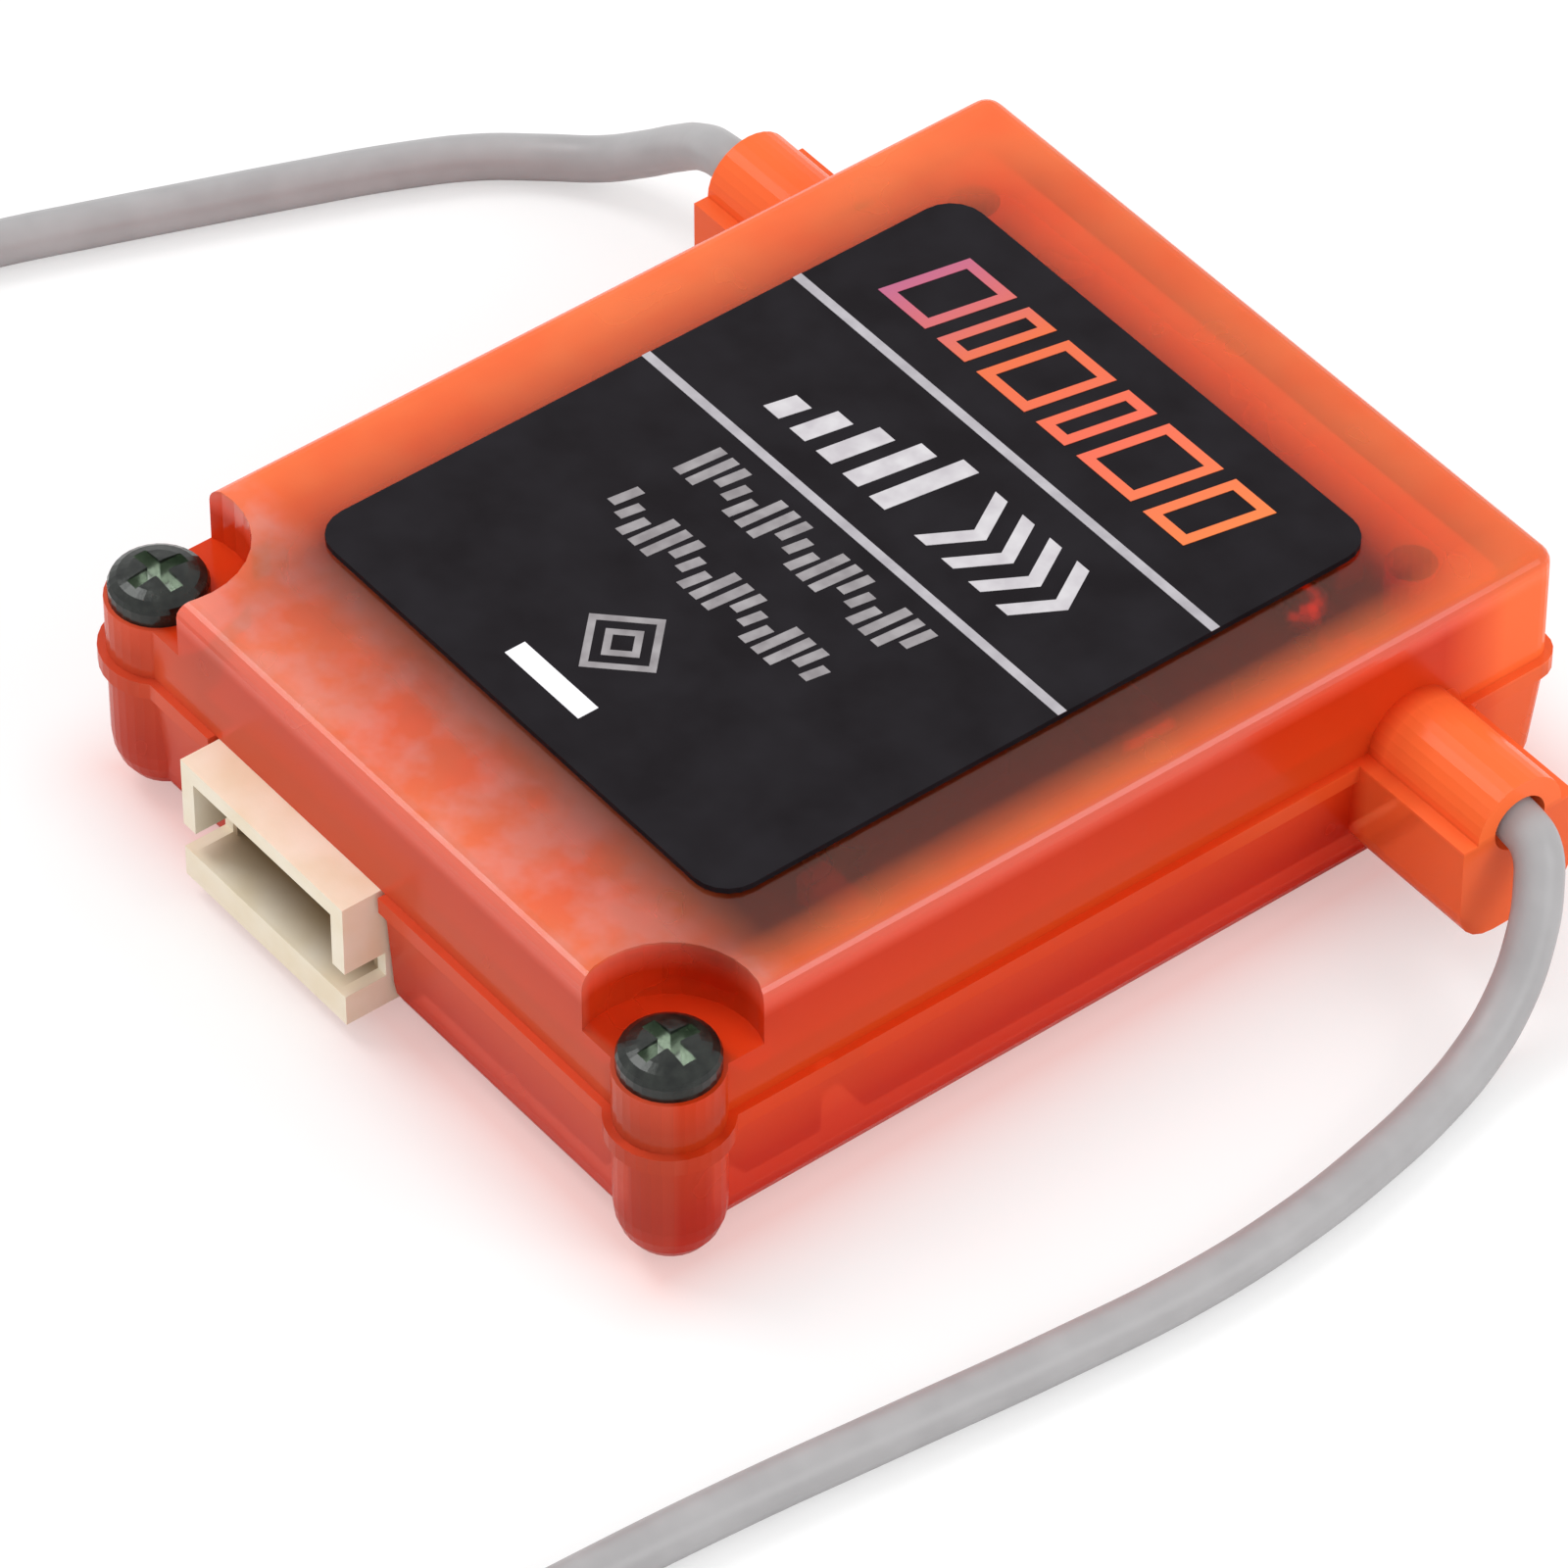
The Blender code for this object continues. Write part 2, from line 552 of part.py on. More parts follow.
def make_case_screws(material):
    profile = [
        (0, -SHANK_LENGTH), (SHANK_RADIUS / 2, -SHANK_LENGTH), (SHANK_RADIUS, -SHANK_LENGTH + SHANK_RADIUS),
        (SHANK_RADIUS, 0), (HEAD_RADIUS, 0), (HEAD_RADIUS, HEAD_EDGE),
    ]
    crown = HEAD_HEIGHT - HEAD_EDGE
    for step in range(1, CORNER_STEPS):
        angle = math.radians(90 * step / CORNER_STEPS)
        profile.append((HEAD_RADIUS * math.cos(angle), HEAD_EDGE + crown * math.sin(angle)))
    profile.append((0, HEAD_HEIGHT))
    half_span = RECESS_SPAN / 2
    half_width = RECESS_WIDTH / 2
    low, high = HEAD_HEIGHT - RECESS_DEPTH, HEAD_HEIGHT + RECESS_DEPTH
    for side, x in screw_places():
        place = (x, SCREW_Y, SEAT_Z)
        screw = add_object(f"case_screw_{side}", lathe_mesh(f"case_screw_{side}", profile), material, place)
        slot_x = box_mesh("recess_x", (-half_span, -half_width, low), (half_span, half_width, high))
        slot_y = box_mesh("recess_y", (-half_width, -half_span, low), (half_width, half_span, high))
        cut(screw, f"recess_x_{side}", slot_x, place)
        cut(screw, f"recess_y_{side}", slot_y, place)


def make_main_board(material):
    outline = rounded_outline(BOARD_HALF_WIDTH, BOARD_HALF_LENGTH, BOARD_CORNER)
    mesh = loft_mesh("main_board", [(outline, BOARD_BOTTOM), (outline, BOARD_TOP)])
    board = add_object("main_board", mesh, material)
    radius = POCKET_RADIUS + POCKET_WALL + BOARD_CLEARANCE
    for side, x in screw_places():
        notch = cylinder_mesh(f"board_corner_{side}", radius, BOARD_BOTTOM - WALL, BOARD_TOP + WALL)
        cut(board, f"board_corner_{side}", notch, (x, SCREW_Y, 0))
    half_notch = LEAD_RADIUS + NOTCH_GAP
    for side, sign in (("left", -1), ("right", 1)):
        x_ends = sorted((sign * (LEAD_START - NOTCH_GAP), sign * HALF_WIDTH))
        low = (x_ends[0], BOSS_Y - half_notch, BOARD_BOTTOM - WALL)
        high = (x_ends[1], BOSS_Y + half_notch, BOARD_TOP + WALL)
        cut(board, f"lead_notch_{side}", box_mesh(f"lead_notch_{side}", low, high))


def pin_places():
    for index in range(PIN_COUNT):
        yield index + 1, HEADER_OFFSET + (index - (PIN_COUNT - 1) / 2) * PIN_PITCH


def make_header(housing_material, pin_material):
    half = HEADER_WIDTH / 2
    low = (HEADER_OFFSET - half, HEADER_FRONT, HEADER_BOTTOM)
    high = (HEADER_OFFSET + half, HEADER_REAR, HEADER_TOP)
    housing = add_object("header_housing", box_mesh("header_housing", low, high), housing_material)
    mouth_low = (HEADER_OFFSET - half + HEADER_WALL, HEADER_FRONT - WALL, MOUTH_BOTTOM)
    mouth_high = (HEADER_OFFSET + half - HEADER_WALL, HEADER_FRONT + HEADER_MOUTH_DEPTH, MOUTH_TOP)
    cut(housing, "header_mouth", box_mesh("header_mouth", mouth_low, mouth_high))
    slot_low = (HEADER_OFFSET - half - WALL, HEADER_FRONT - WALL, MOUTH_BOTTOM)
    slot_high = (HEADER_OFFSET + half + WALL, HEADER_FRONT + SIDE_SLOT_DEPTH, MOUTH_BOTTOM + SIDE_SLOT_HEIGHT)
    cut(housing, "header_side_slot", box_mesh("header_side_slot", slot_low, slot_high))

    hole = PIN_SIZE / 2 + PIN_GAP
    pin_start = HEADER_FRONT + PIN_SETBACK
    tail = HEADER_REAR + PIN_TAIL_REACH
    for number, x in pin_places():
        hole_low = (x - hole, HEADER_FRONT + HEADER_MOUTH_DEPTH - WALL, PIN_Z - hole)
        hole_high = (x + hole, HEADER_REAR + WALL, PIN_Z + hole)
        cut(housing, f"pin_hole_{number}", box_mesh(f"pin_hole_{number}", hole_low, hole_high))
        section = [
            (pin_start, PIN_Z - PIN_SIZE / 2),
            (tail, PIN_Z - PIN_SIZE / 2),
            (tail, BOARD_BOTTOM - PIN_FOOT_THICKNESS),
            (tail + PIN_FOOT_LENGTH, BOARD_BOTTOM - PIN_FOOT_THICKNESS),
            (tail + PIN_FOOT_LENGTH, BOARD_BOTTOM),
            (tail - PIN_SIZE, BOARD_BOTTOM),
            (tail - PIN_SIZE, PIN_Z + PIN_SIZE / 2),
            (pin_start, PIN_Z + PIN_SIZE / 2),
        ]
        pin = extrusion_mesh(f"header_pin_{number}", section, -PIN_SIZE / 2, PIN_SIZE / 2)
        add_object(f"header_pin_{number}", pin, pin_material, (x, 0, 0))

    tab_front = HEADER_FRONT + TAB_FROM_FRONT
    for side, sign in (("left", -1), ("right", 1)):
        wall_face = sign * half
        outline = [
            (wall_face, BOARD_BOTTOM - TAB_DROP),
            (wall_face + sign * TAB_THICKNESS, BOARD_BOTTOM - TAB_DROP),
            (wall_face + sign * TAB_THICKNESS, BOARD_BOTTOM - TAB_THICKNESS),
            (wall_face + sign * TAB_FOOT, BOARD_BOTTOM - TAB_THICKNESS),
            (wall_face + sign * TAB_FOOT, BOARD_BOTTOM),
            (wall_face, BOARD_BOTTOM),
        ]
        mesh = extrusion_mesh(f"header_tab_{side}", outline, 0, TAB_LENGTH)
        place = (HEADER_OFFSET, tab_front + TAB_LENGTH, 0)
        tab = add_object(f"header_tab_{side}", mesh, pin_material, place)
        tab.rotation_euler = (0, 0, -math.pi / 2)


def board_place(name):
    (side, x), (end, y) = COMPONENT_PLACES[name]
    return side * BOARD_HALF_WIDTH + x, end * BOARD_HALF_LENGTH + y


def add_component(name, size, material, centre=None, chamfer=BLOCK_CHAMFER, under=False):
    """A moulded block soldered flat on one face of the board."""
    length, width, height = size
    base = rounded_outline(length / 2, width / 2, chamfer, 2)
    shoulder = rounded_outline(length / 2 - chamfer, width / 2 - chamfer, chamfer / 2, 2)
    mesh = loft_mesh(name, [(base, 0), (base, height - chamfer), (shoulder, height)])
    x, y = centre or board_place(name)
    item = add_object(name, mesh, material, (x, y, BOARD_BOTTOM if under else BOARD_TOP))
    if under:
        item.rotation_euler = (math.pi, 0, 0)
    return item


def make_regulator(material):
    """A small three-legged package: a body with two legs on one side and one on the other."""
    name = "voltage_regulator"
    place = (*board_place(name), BOARD_TOP)
    regulator = add_component(name, (REGULATOR_LENGTH, REGULATOR_WIDTH, REGULATOR_HEIGHT), material)
    half_body = REGULATOR_WIDTH / 2
    for label, x, sign in (("a", -LEG_SPACING, -1), ("b", LEG_SPACING, -1), ("c", 0, 1)):
        y_ends = sorted((sign * (half_body - LEG_REACH), sign * (half_body + LEG_REACH)))
        low = (x - LEG_WIDTH / 2, y_ends[0], 0)
        high = (x + LEG_WIDTH / 2, y_ends[1], LEG_THICKNESS)
        join(regulator, f"regulator_leg_{label}", box_mesh(f"regulator_leg_{label}", low, high), place)


def make_components(chip, ceramic, resistor, metal, tantalum, lens):
    radio_crystal_size = (CRYSTAL_LENGTH, RADIO_CRYSTAL_WIDTH, RADIO_CRYSTAL_HEIGHT)
    clock_crystal_size = (CRYSTAL_LENGTH, CLOCK_CRYSTAL_WIDTH, CLOCK_CRYSTAL_HEIGHT)
    smoothing_size = (SMOOTHING_LENGTH, SMOOTHING_WIDTH, SMOOTHING_HEIGHT)
    add_component("radio_chip", (RADIO_CHIP_SIDE, RADIO_CHIP_SIDE, CHIP_HEIGHT), chip)
    add_component("microcontroller", (CONTROLLER_SIDE, CONTROLLER_SIDE, CHIP_HEIGHT), chip)
    add_component("memory_chip", (MEMORY_LENGTH, MEMORY_WIDTH, MEMORY_HEIGHT), chip)
    add_component("aerial_switch", (SWITCH_LENGTH, SWITCH_WIDTH, SWITCH_HEIGHT), chip)
    add_component("radio_crystal", radio_crystal_size, metal, chamfer=CAN_CHAMFER)
    add_component("clock_crystal", clock_crystal_size, metal, chamfer=CAN_CHAMFER)
    add_component("smoothing_capacitor", smoothing_size, tantalum, under=True)
    add_component("status_light", (PASSIVE_LENGTH, PASSIVE_WIDTH, LIGHT_HEIGHT), lens)
    make_regulator(chip)
    for number in range(1, 7):
        add_component(f"capacitor_{number}", (PASSIVE_LENGTH, PASSIVE_WIDTH, CAPACITOR_HEIGHT), ceramic)
    for number in range(1, 5):
        add_component(f"resistor_{number}", (PASSIVE_LENGTH, PASSIVE_WIDTH, RESISTOR_HEIGHT), resistor)
    for side, sign in (("left", -1), ("right", 1)):
        size = (MATCHING_LENGTH, MATCHING_WIDTH, MATCHING_HEIGHT)
        centre = (sign * (JOINT_X - MATCHING_FROM_JOINT), BOSS_Y)
        add_component(f"matching_coil_{side}", size, ceramic, centre)


def make_joints(material):
    profile = [(0, 0), (JOINT_RADIUS, 0)]
    for step in range(1, CORNER_STEPS):
        angle = math.radians(90 * step / CORNER_STEPS)
        profile.append((JOINT_RADIUS * math.cos(angle), JOINT_HEIGHT * math.sin(angle)))
    profile.append((0, JOINT_HEIGHT))
    for side, sign in (("left", -1), ("right", 1)):
        mesh = lathe_mesh(f"aerial_joint_{side}", profile, SMALL_CURVE_STEPS)
        add_object(f"aerial_joint_{side}", mesh, material, (sign * JOINT_X, BOSS_Y, BOARD_TOP))


def smooth_path(points, spacing):
    """Points at an even spacing along a smooth curve through the given points."""
    places = [Vector(p) for p in points]
    places = [2 * places[0] - places[1]] + places + [2 * places[-1] - places[-2]]
    fine_steps = 24
    fine = []
    for a, b, c, d in zip(places, places[1:], places[2:], places[3:]):
        for step in range(fine_steps):
            t = step / fine_steps
            fine.append(0.5 * (
                2 * b + (c - a) * t + (2 * a - 5 * b + 4 * c - d) * t ** 2 + (3 * b - a - 3 * c + d) * t ** 3
            ))
    fine.append(places[-2])
    lengths = [0.0]
    for here, there in zip(fine, fine[1:]):
        lengths.append(lengths[-1] + (there - here).length)
    count = max(2, round(lengths[-1] / spacing))
    even = []
    index = 0
    for number in range(count + 1):
        target = lengths[-1] * number / count
        while index < len(fine) - 2 and lengths[index + 1] < target:
            index += 1
        share = (target - lengths[index]) / (lengths[index + 1] - lengths[index])
        even.append(fine[index].lerp(fine[index + 1], min(max(share, 0.0), 1.0)))
    return even


def add_tube(name, points, diameter, material):
    curve = bpy.data.curves.new(name, "CURVE")
    curve.dimensions = "3D"
    curve.bevel_depth = diameter / 2
    curve.bevel_resolution = 2
    curve.use_fill_caps = True
    spline = curve.splines.new("POLY")
    spline.points.add(len(points) - 1)
    for target, point in zip(spline.points, points):
        target.co = (*point, 1.0)
    return add_object(name, curve, material)


def make_aerials(jacket_material, core_material):
    sides = (("left", -1, ROUTE_LEFT, COIL_CENTRE_LEFT), ("right", 1, ROUTE_RIGHT, COIL_CENTRE_RIGHT))
    for side, sign, route, centre in sides:
        reach = COIL_OUTER_RADIUS + TOUCH_GAP + LEAD_RADIUS
        fine = smooth_path(route, LEAD_POINT_SPACING / FINE_STEPS)
        free = [point for point in fine if math.dist(point.xy, centre) > reach]
        path = free[:-FINE_STEPS // 2:FINE_STEPS] + [free[-1]]
        inside = [Vector((sign * LEAD_START, BOSS_Y, LEAD_Z)), Vector((sign * HALF_WIDTH, BOSS_Y, LEAD_Z))]
        add_tube(f"aerial_lead_{side}", inside + path, LEAD_DIAMETER, jacket_material)

        name = f"aerial_coil_{side}"
        ring = turned_ring_mesh(name, COIL_INNER_RADIUS, COIL_OUTER_RADIUS, LEAD_DIAMETER, LEAD_RADIUS / 2)
        add_object(name, ring, jacket_material, (*centre, LEAD_LIFT))

        laid = sum(math.dist(here, there) for here, there in zip(route, route[1:]))
        lead_turns = (LEAD_LENGTH - laid) / (math.pi * (COIL_FIRST_RADIUS + COIL_LAST_RADIUS))
        coil_end_angle = math.pi + 2 * math.pi * lead_turns
        turns = TIP_LENGTH / (math.pi * (TIP_OUTER_RADIUS + TIP_INNER_RADIUS))
        count = round(turns * TIP_POINTS_PER_TURN)
        tip = []
        for step in range(count + 1):
            share = step / count
            angle = coil_end_angle + 2 * math.pi * turns * share
            radius = TIP_OUTER_RADIUS + (TIP_INNER_RADIUS - TIP_OUTER_RADIUS) * share
            tip.append(Vector((
                centre[0] + radius * math.cos(angle), centre[1] + radius * math.sin(angle),
                TIP_DIAMETER / 2 + LEAD_LIFT,
            )))
        add_tube(f"aerial_tip_{side}", tip, TIP_DIAMETER, core_material)


def main():
    clear_scene()
    shell = make_material("orange_shell", (0.87, 0.12, 0.035), 0.3)
    label = make_material("black_label", (0.018, 0.015, 0.02), 0.4)
    screw = make_material("black_steel", (0.03, 0.03, 0.032), 0.35, 0.9)
    board = make_material("board_laminate", (0.02, 0.09, 0.05), 0.5)
    housing = make_material("cream_nylon", (0.82, 0.72, 0.55), 0.45)
    tinned = make_material("tinned_metal", (0.72, 0.7, 0.66), 0.3, 1.0)
    chip = make_material("black_resin", (0.02, 0.02, 0.022), 0.55)
    ceramic = make_material("ceramic", (0.42, 0.3, 0.2), 0.5)
    resistor = make_material("resistor_glaze", (0.03, 0.03, 0.035), 0.35)
    tantalum = make_material("yellow_resin", (0.75, 0.5, 0.1), 0.5)
    lens = make_material("clear_lens", (0.85, 0.8, 0.7), 0.2)
    jacket = make_material("grey_jacket", (0.47, 0.45, 0.46), 0.45)
    core = make_material("clear_core", (0.7, 0.66, 0.6), 0.35)

    make_upper_case(shell)
    make_lower_case(shell)
    make_label(label)
    make_case_screws(screw)
    make_main_board(board)
    make_header(housing, tinned)
    make_components(chip, ceramic, resistor, tinned, tantalum, lens)
    make_joints(tinned)
    make_aerials(jacket, core)

    receiver = bpy.data.objects.new("receiver", None)
    bpy.context.scene.collection.objects.link(receiver)
    for item in list(bpy.data.objects):
        if item is not receiver and item.parent is None:
            item.parent = receiver


main()
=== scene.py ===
"""Looks of a small satellite receiver in a translucent orange case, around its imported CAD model."""
import math

import bmesh
import bpy
from mathutils import Matrix, Vector


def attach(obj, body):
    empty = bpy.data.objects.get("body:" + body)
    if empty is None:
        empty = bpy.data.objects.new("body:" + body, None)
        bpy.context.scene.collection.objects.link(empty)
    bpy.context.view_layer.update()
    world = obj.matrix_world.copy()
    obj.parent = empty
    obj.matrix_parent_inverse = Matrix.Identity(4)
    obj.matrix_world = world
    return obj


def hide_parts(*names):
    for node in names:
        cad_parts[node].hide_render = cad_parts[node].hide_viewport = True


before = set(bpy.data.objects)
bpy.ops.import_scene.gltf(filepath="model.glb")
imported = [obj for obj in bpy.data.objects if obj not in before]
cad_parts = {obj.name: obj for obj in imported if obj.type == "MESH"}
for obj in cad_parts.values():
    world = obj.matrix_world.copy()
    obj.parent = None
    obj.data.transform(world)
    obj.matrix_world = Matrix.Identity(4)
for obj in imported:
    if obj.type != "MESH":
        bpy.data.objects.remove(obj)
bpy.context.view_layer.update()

MM = 0.001
BODY = "root"
METAL = {"Metallic": 1.0}

# Camera, from the photograph's perspective
VIEW_AZIMUTH = math.radians(52.0)
VIEW_ELEVATION = math.radians(44.08)
VIEW_TARGET = Vector((5.263, -5.463, 7.035)) * MM
VIEW_DISTANCE = 220.92 * MM
VIEW_LENS = 236.3
SENSOR_WIDTH = 36.0
VIEW_SHIFT_Y = -0.001875

# Aerial leads, as in the CAD source
LEAD_DIAMETER = 1.13 * MM
LEAD_LENGTH = 120.0 * MM
LEAD_INSIDE_X = (7.3 * MM, 9.4 * MM, 11.6 * MM)
BOSS_Y = 8.3 * MM
LEAD_Z = 4.0 * MM
COIL_LIE = 0.665 * MM
COIL_FIRST_RADIUS = 7.235 * MM
COIL_LAST_RADIUS = 4.565 * MM
COIL_POINTS_PER_TURN = 18
TIP_DIAMETER = 0.5 * MM
TIP_OUTER_RADIUS = 3.45 * MM
TIP_INNER_RADIUS = 2.45 * MM
TIP_LENGTH = 31.0 * MM
TIP_LIE = 0.35 * MM
ROUTES = {
    "right": [
        (13.7, 8.3, 4.0), (14.3, 8.25, 3.8), (14.85, 7.9, 3.1), (15.35, 7.25, 2.2), (15.8, 6.3, 1.35),
        (16.2, 5.1, 0.8), (16.65, 3.5, 0.585), (17.15, 1.3, 0.585), (17.5, -1.2, 0.585),
        (17.6, -4.0, 0.585), (17.35, -7.5, 0.585), (16.9, -11.5, 0.585), (16.45, -15.5, 0.585),
        (16.15, -19.5, 0.585), (16.0, -23.0, 0.585), (16.0, -26.5, 0.585),
    ],
    "left": [
        (-13.7, 8.3, 4.0), (-14.6, 8.35, 3.9), (-15.8, 8.6, 3.3), (-17.0, 8.7, 2.4), (-18.1, 8.55, 1.55),
        (-19.2, 8.1, 0.9), (-20.35, 7.25, 0.62), (-21.35, 6.05, 0.585), (-22.25, 4.35, 0.585),
        (-23.25, 1.95, 0.585), (-24.15, -0.35, 0.585), (-25.0, -2.55, 0.585), (-25.85, -4.85, 0.585),
        (-26.8, -8.2, 0.585), (-27.35, -12.0, 0.585), (-27.5, -16.0, 0.585), (-27.4, -20.5, 0.585),
    ],
}
COIL_CENTRES = {"right": (23.2, -26.5), "left": (-20.2, -20.5)}

# Tape round a coil's turns: distances from the coil's middle and heights, in millimetres
TIE_OUTLINE = [
    (2.0, 0.02), (7.55, 0.02), (7.65, 0.3), (7.65, 1.0), (7.4, 1.3), (4.75, 1.3), (4.45, 1.0), (3.6, 0.98),
    (3.1, 0.72), (2.1, 0.68), (1.9, 0.5), (1.9, 0.1),
]
TIE_HALF_WIDTH = 0.9 * MM
TIE_THICKNESS = 0.06 * MM
TIE_ANGLE = math.radians(-60)

# Bared core between a coax and its solder joint: places across and heights, in millimetres
CORE_RISE = [(7.2, 4.1), (6.9, 4.3), (6.7, 4.75), (6.45, 5.15), (6.1, 5.1)]
CORE_DIAMETER = 0.4 * MM

# Case, header and screws
CASE_HALF_WIDTH = 10.0 * MM
CASE_HALF_LENGTH = 12.5 * MM
CASE_TOP = 7.0 * MM
TOP_ROUNDING = 0.45 * MM
HEADER_FRONT = -13.55 * MM
MOUTH_ACROSS = (-5.6 * MM, -0.2 * MM)
MOUTH_HEIGHT = (1.25 * MM, 3.6 * MM)
SCREW_X = 9.25 * MM
SCREW_Y = -11.65 * MM
RECESS_HALF_SLOT = 0.19 * MM
RECESS_HALF_SPAN = 0.74 * MM
RECESS_TOP = 6.09 * MM

# Shell colours: the walls by height in millimetres, with painted shade deeper towards the base, brightest
# round the parting line and a pink painted highlight on the rounded top edge, and the places that differ
WALL_LIGHT_AND_SHADE = [
    (0.0, (0.6, 0.022, 0.006)), (2.0, (0.7, 0.03, 0.006)), (3.4, (0.88, 0.07, 0.012)),
    (4.2, (0.92, 0.08, 0.014)), (6.2, (0.76, 0.05, 0.009)), (6.55, (1.0, 0.11, 0.05)),
    (6.9, (1.0, 0.18, 0.11)),
]
# Painted light: the front face paler, as where the lamp falls on it
FRONT_LIGHT_COLOUR = (1.0, 0.45, 0.3)
# Painted glow: the rear and the aerial boss brighter, as lit through from behind
REAR_GLOW_COLOUR = (1.0, 0.175, 0.045)
# Painted shade round the screw posts, in the screw pockets
POST_SHADE_COLOUR = (0.34, 0.018, 0.008)
# Painted sheen: mottled pale pink along the roof's front margin
ROOF_SHEEN_COLOUR = (0.92, 0.41, 0.36)

# How much light goes straight through the shell, in its walls and over the middle of the case
WALL_CLEARNESS = 0.35
ROOF_CLEARNESS = 0.95

# Light that comes through the case onto the floor
GLOW_COLOUR = (1.0, 0.74, 0.71)
GLOW_REACH = 2.8 * MM

# Label print, in millimetres across the label from its middle and up it from its front edge
LABEL_FRONT_Y = -8.85
LABEL_TOP_Z = 7.15
LABEL_HALF_WIDTH = 7.4
INK_THICKNESS = 0.012
PRINT_SLANT = 0.45

# Studio
FLOOR_HALF_SIZE = 0.8
WORLD_STRENGTH = 0.85
LAMP_SIZE = 0.3
LAMPS = [("key", 1.5, (-0.35, -0.13, 0.59)), ("fill", 1.15, (0.52, 0.2, 0.3))]


def add_node(tree, kind, sockets=None, **settings):
    made = tree.nodes.new(kind)
    for key, value in settings.items():
        setattr(made, key, value)
    for key, value in (sockets or {}).items():
        if isinstance(value, bpy.types.NodeSocket):
            tree.links.new(value, made.inputs[key])
        else:
            made.inputs[key].default_value = value
    return made


def start_material(name, sockets=None):
    """A material with its node tree and shader. The sockets are the values that stay the same all over."""
    material = bpy.data.materials.new(name)
    material.use_nodes = True
    tree = material.node_tree
    shader = tree.nodes["Principled BSDF"]
    for key, value in (sockets or {}).items():
        shader.inputs[key].default_value = value
    return material, tree, shader


def position(tree):
    """Where a point lies across, along and up the object."""
    place = add_node(tree, "ShaderNodeTexCoord").outputs["Object"]
    return add_node(tree, "ShaderNodeSeparateXYZ", {"Vector": place}).outputs


def noise(tree, size, detail=2.0):
    """Noise with blotches about as wide as size, in metres."""
    place = add_node(tree, "ShaderNodeTexCoord").outputs["Object"]
    sockets = {"Vector": place, "Scale": 1 / size, "Detail": detail}
    return add_node(tree, "ShaderNodeTexNoise", sockets).outputs["Fac"]


def ramp(tree, factor, stops):
    """Colours at positions along a factor."""
    made = add_node(tree, "ShaderNodeValToRGB", {"Fac": factor})
    elements = made.color_ramp.elements
    while len(elements) < len(stops):
        elements.new(0.5)
    for element, (place, colour) in zip(elements, stops):
        element.position = place
        element.color = (*colour, 1.0)
    return made.outputs["Color"]


def fade(tree, value, start, end, low=0.0, high=1.0):
    """Goes from low to high as a value goes from start to end."""
    sockets = {"Value": value, "From Min": start, "From Max": end, "To Min": low, "To Max": high}
    return add_node(tree, "ShaderNodeMapRange", sockets).outputs["Result"]


def zone(tree, place, start, end, low=0.0, high=1.0):
    """Goes from low to high as a place goes from start to end, in millimetres."""
    return fade(tree, place, start * MM, end * MM, low, high)


def calculate(tree, operation, first, second=0.0):
    return add_node(tree, "ShaderNodeMath", {0: first, 1: second}, operation=operation).outputs[0]


def absolute(tree, value):
    return calculate(tree, "ABSOLUTE", value)


def product(tree, *factors):
    result = factors[0]
    for factor in factors[1:]:
        result = calculate(tree, "MULTIPLY", result, factor)
    return result


def blend(tree, share, first, second):
    """A colour between two, as a share goes from 0 to 1."""
    made = add_node(tree, "ShaderNodeMix", data_type="RGBA")
    for socket, value in (("Factor_Float", share), ("A_Color", first), ("B_Color", second)):
        target = next(item for item in made.inputs if item.identifier == socket)
        if isinstance(value, tuple):
            target.default_value = (*value, 1.0)
        else:
            tree.links.new(value, target)
    return next(item for item in made.outputs if item.identifier == "Result_Color")


def base_colour(shader):
    """What drives a finish's colour so far."""
    return shader.inputs["Base Color"].links[0].from_socket


def repaint(tree, shader, share, colour):
    """Lays a colour over a finish's own, as a share goes from 0 to 1."""
    tree.links.new(blend(tree, share, base_colour(shader), colour), shader.inputs["Base Color"])


def add_bump(tree, shader, height, depth):
    bump = add_node(tree, "ShaderNodeBump", {"Height": height, "Distance": depth, "Strength": 1.0})
    tree.links.new(bump.outputs["Normal"], shader.inputs["Normal"])


def surface(name, dark, light, blotch, roughness, grain, depth, sockets=None):
    """A finish whose colour and roughness drift in blotches, with a fine grain in its surface."""
    material, tree, shader = start_material(name, sockets)
    drift = noise(tree, blotch)
    tree.links.new(ramp(tree, drift, [(0.3, dark), (0.7, light)]), shader.inputs["Base Color"])
    tree.links.new(fade(tree, drift, 0.3, 0.7, *roughness), shader.inputs["Roughness"])
    add_bump(tree, shader, noise(tree, grain), depth)
    return material


def open_material(material):
    return material.node_tree, material.node_tree.nodes["Principled BSDF"]


def wall_colour(tree, across, along, height, rearward):
    """Painted light and shade on the walls: shade deeper towards the base, paler on the front face as
    painted light, brighter at the rear as a painted glow of light through the case, and painted shade round
    the screws.
    """
    stops = [(level * MM / CASE_TOP, colour) for level, colour in WALL_LIGHT_AND_SHADE]
    # Painted shade and highlights on the walls by height
    colour = ramp(tree, fade(tree, height, 0.0, CASE_TOP), stops)
    # Painted light on the front face
    front_light = fade(tree, along, 0.1 * MM - CASE_HALF_LENGTH, 0.3 * MM - CASE_HALF_LENGTH, 0.12, 0.0)
    colour = blend(tree, front_light, colour, FRONT_LIGHT_COLOUR)
    # Painted glow at the rear and on the boss
    colour = blend(tree, product(tree, rearward, 0.9), colour, REAR_GLOW_COLOUR)
    # Painted shade in the screw pockets
    post_shade = product(
        tree,
        zone(tree, absolute(tree, across), 8.0, 8.6, 0.0, 0.4),
        zone(tree, along, -10.7, -11.1),
        zone(tree, height, 5.4, 4.6),
    )
    return blend(tree, post_shade, colour, POST_SHADE_COLOUR)


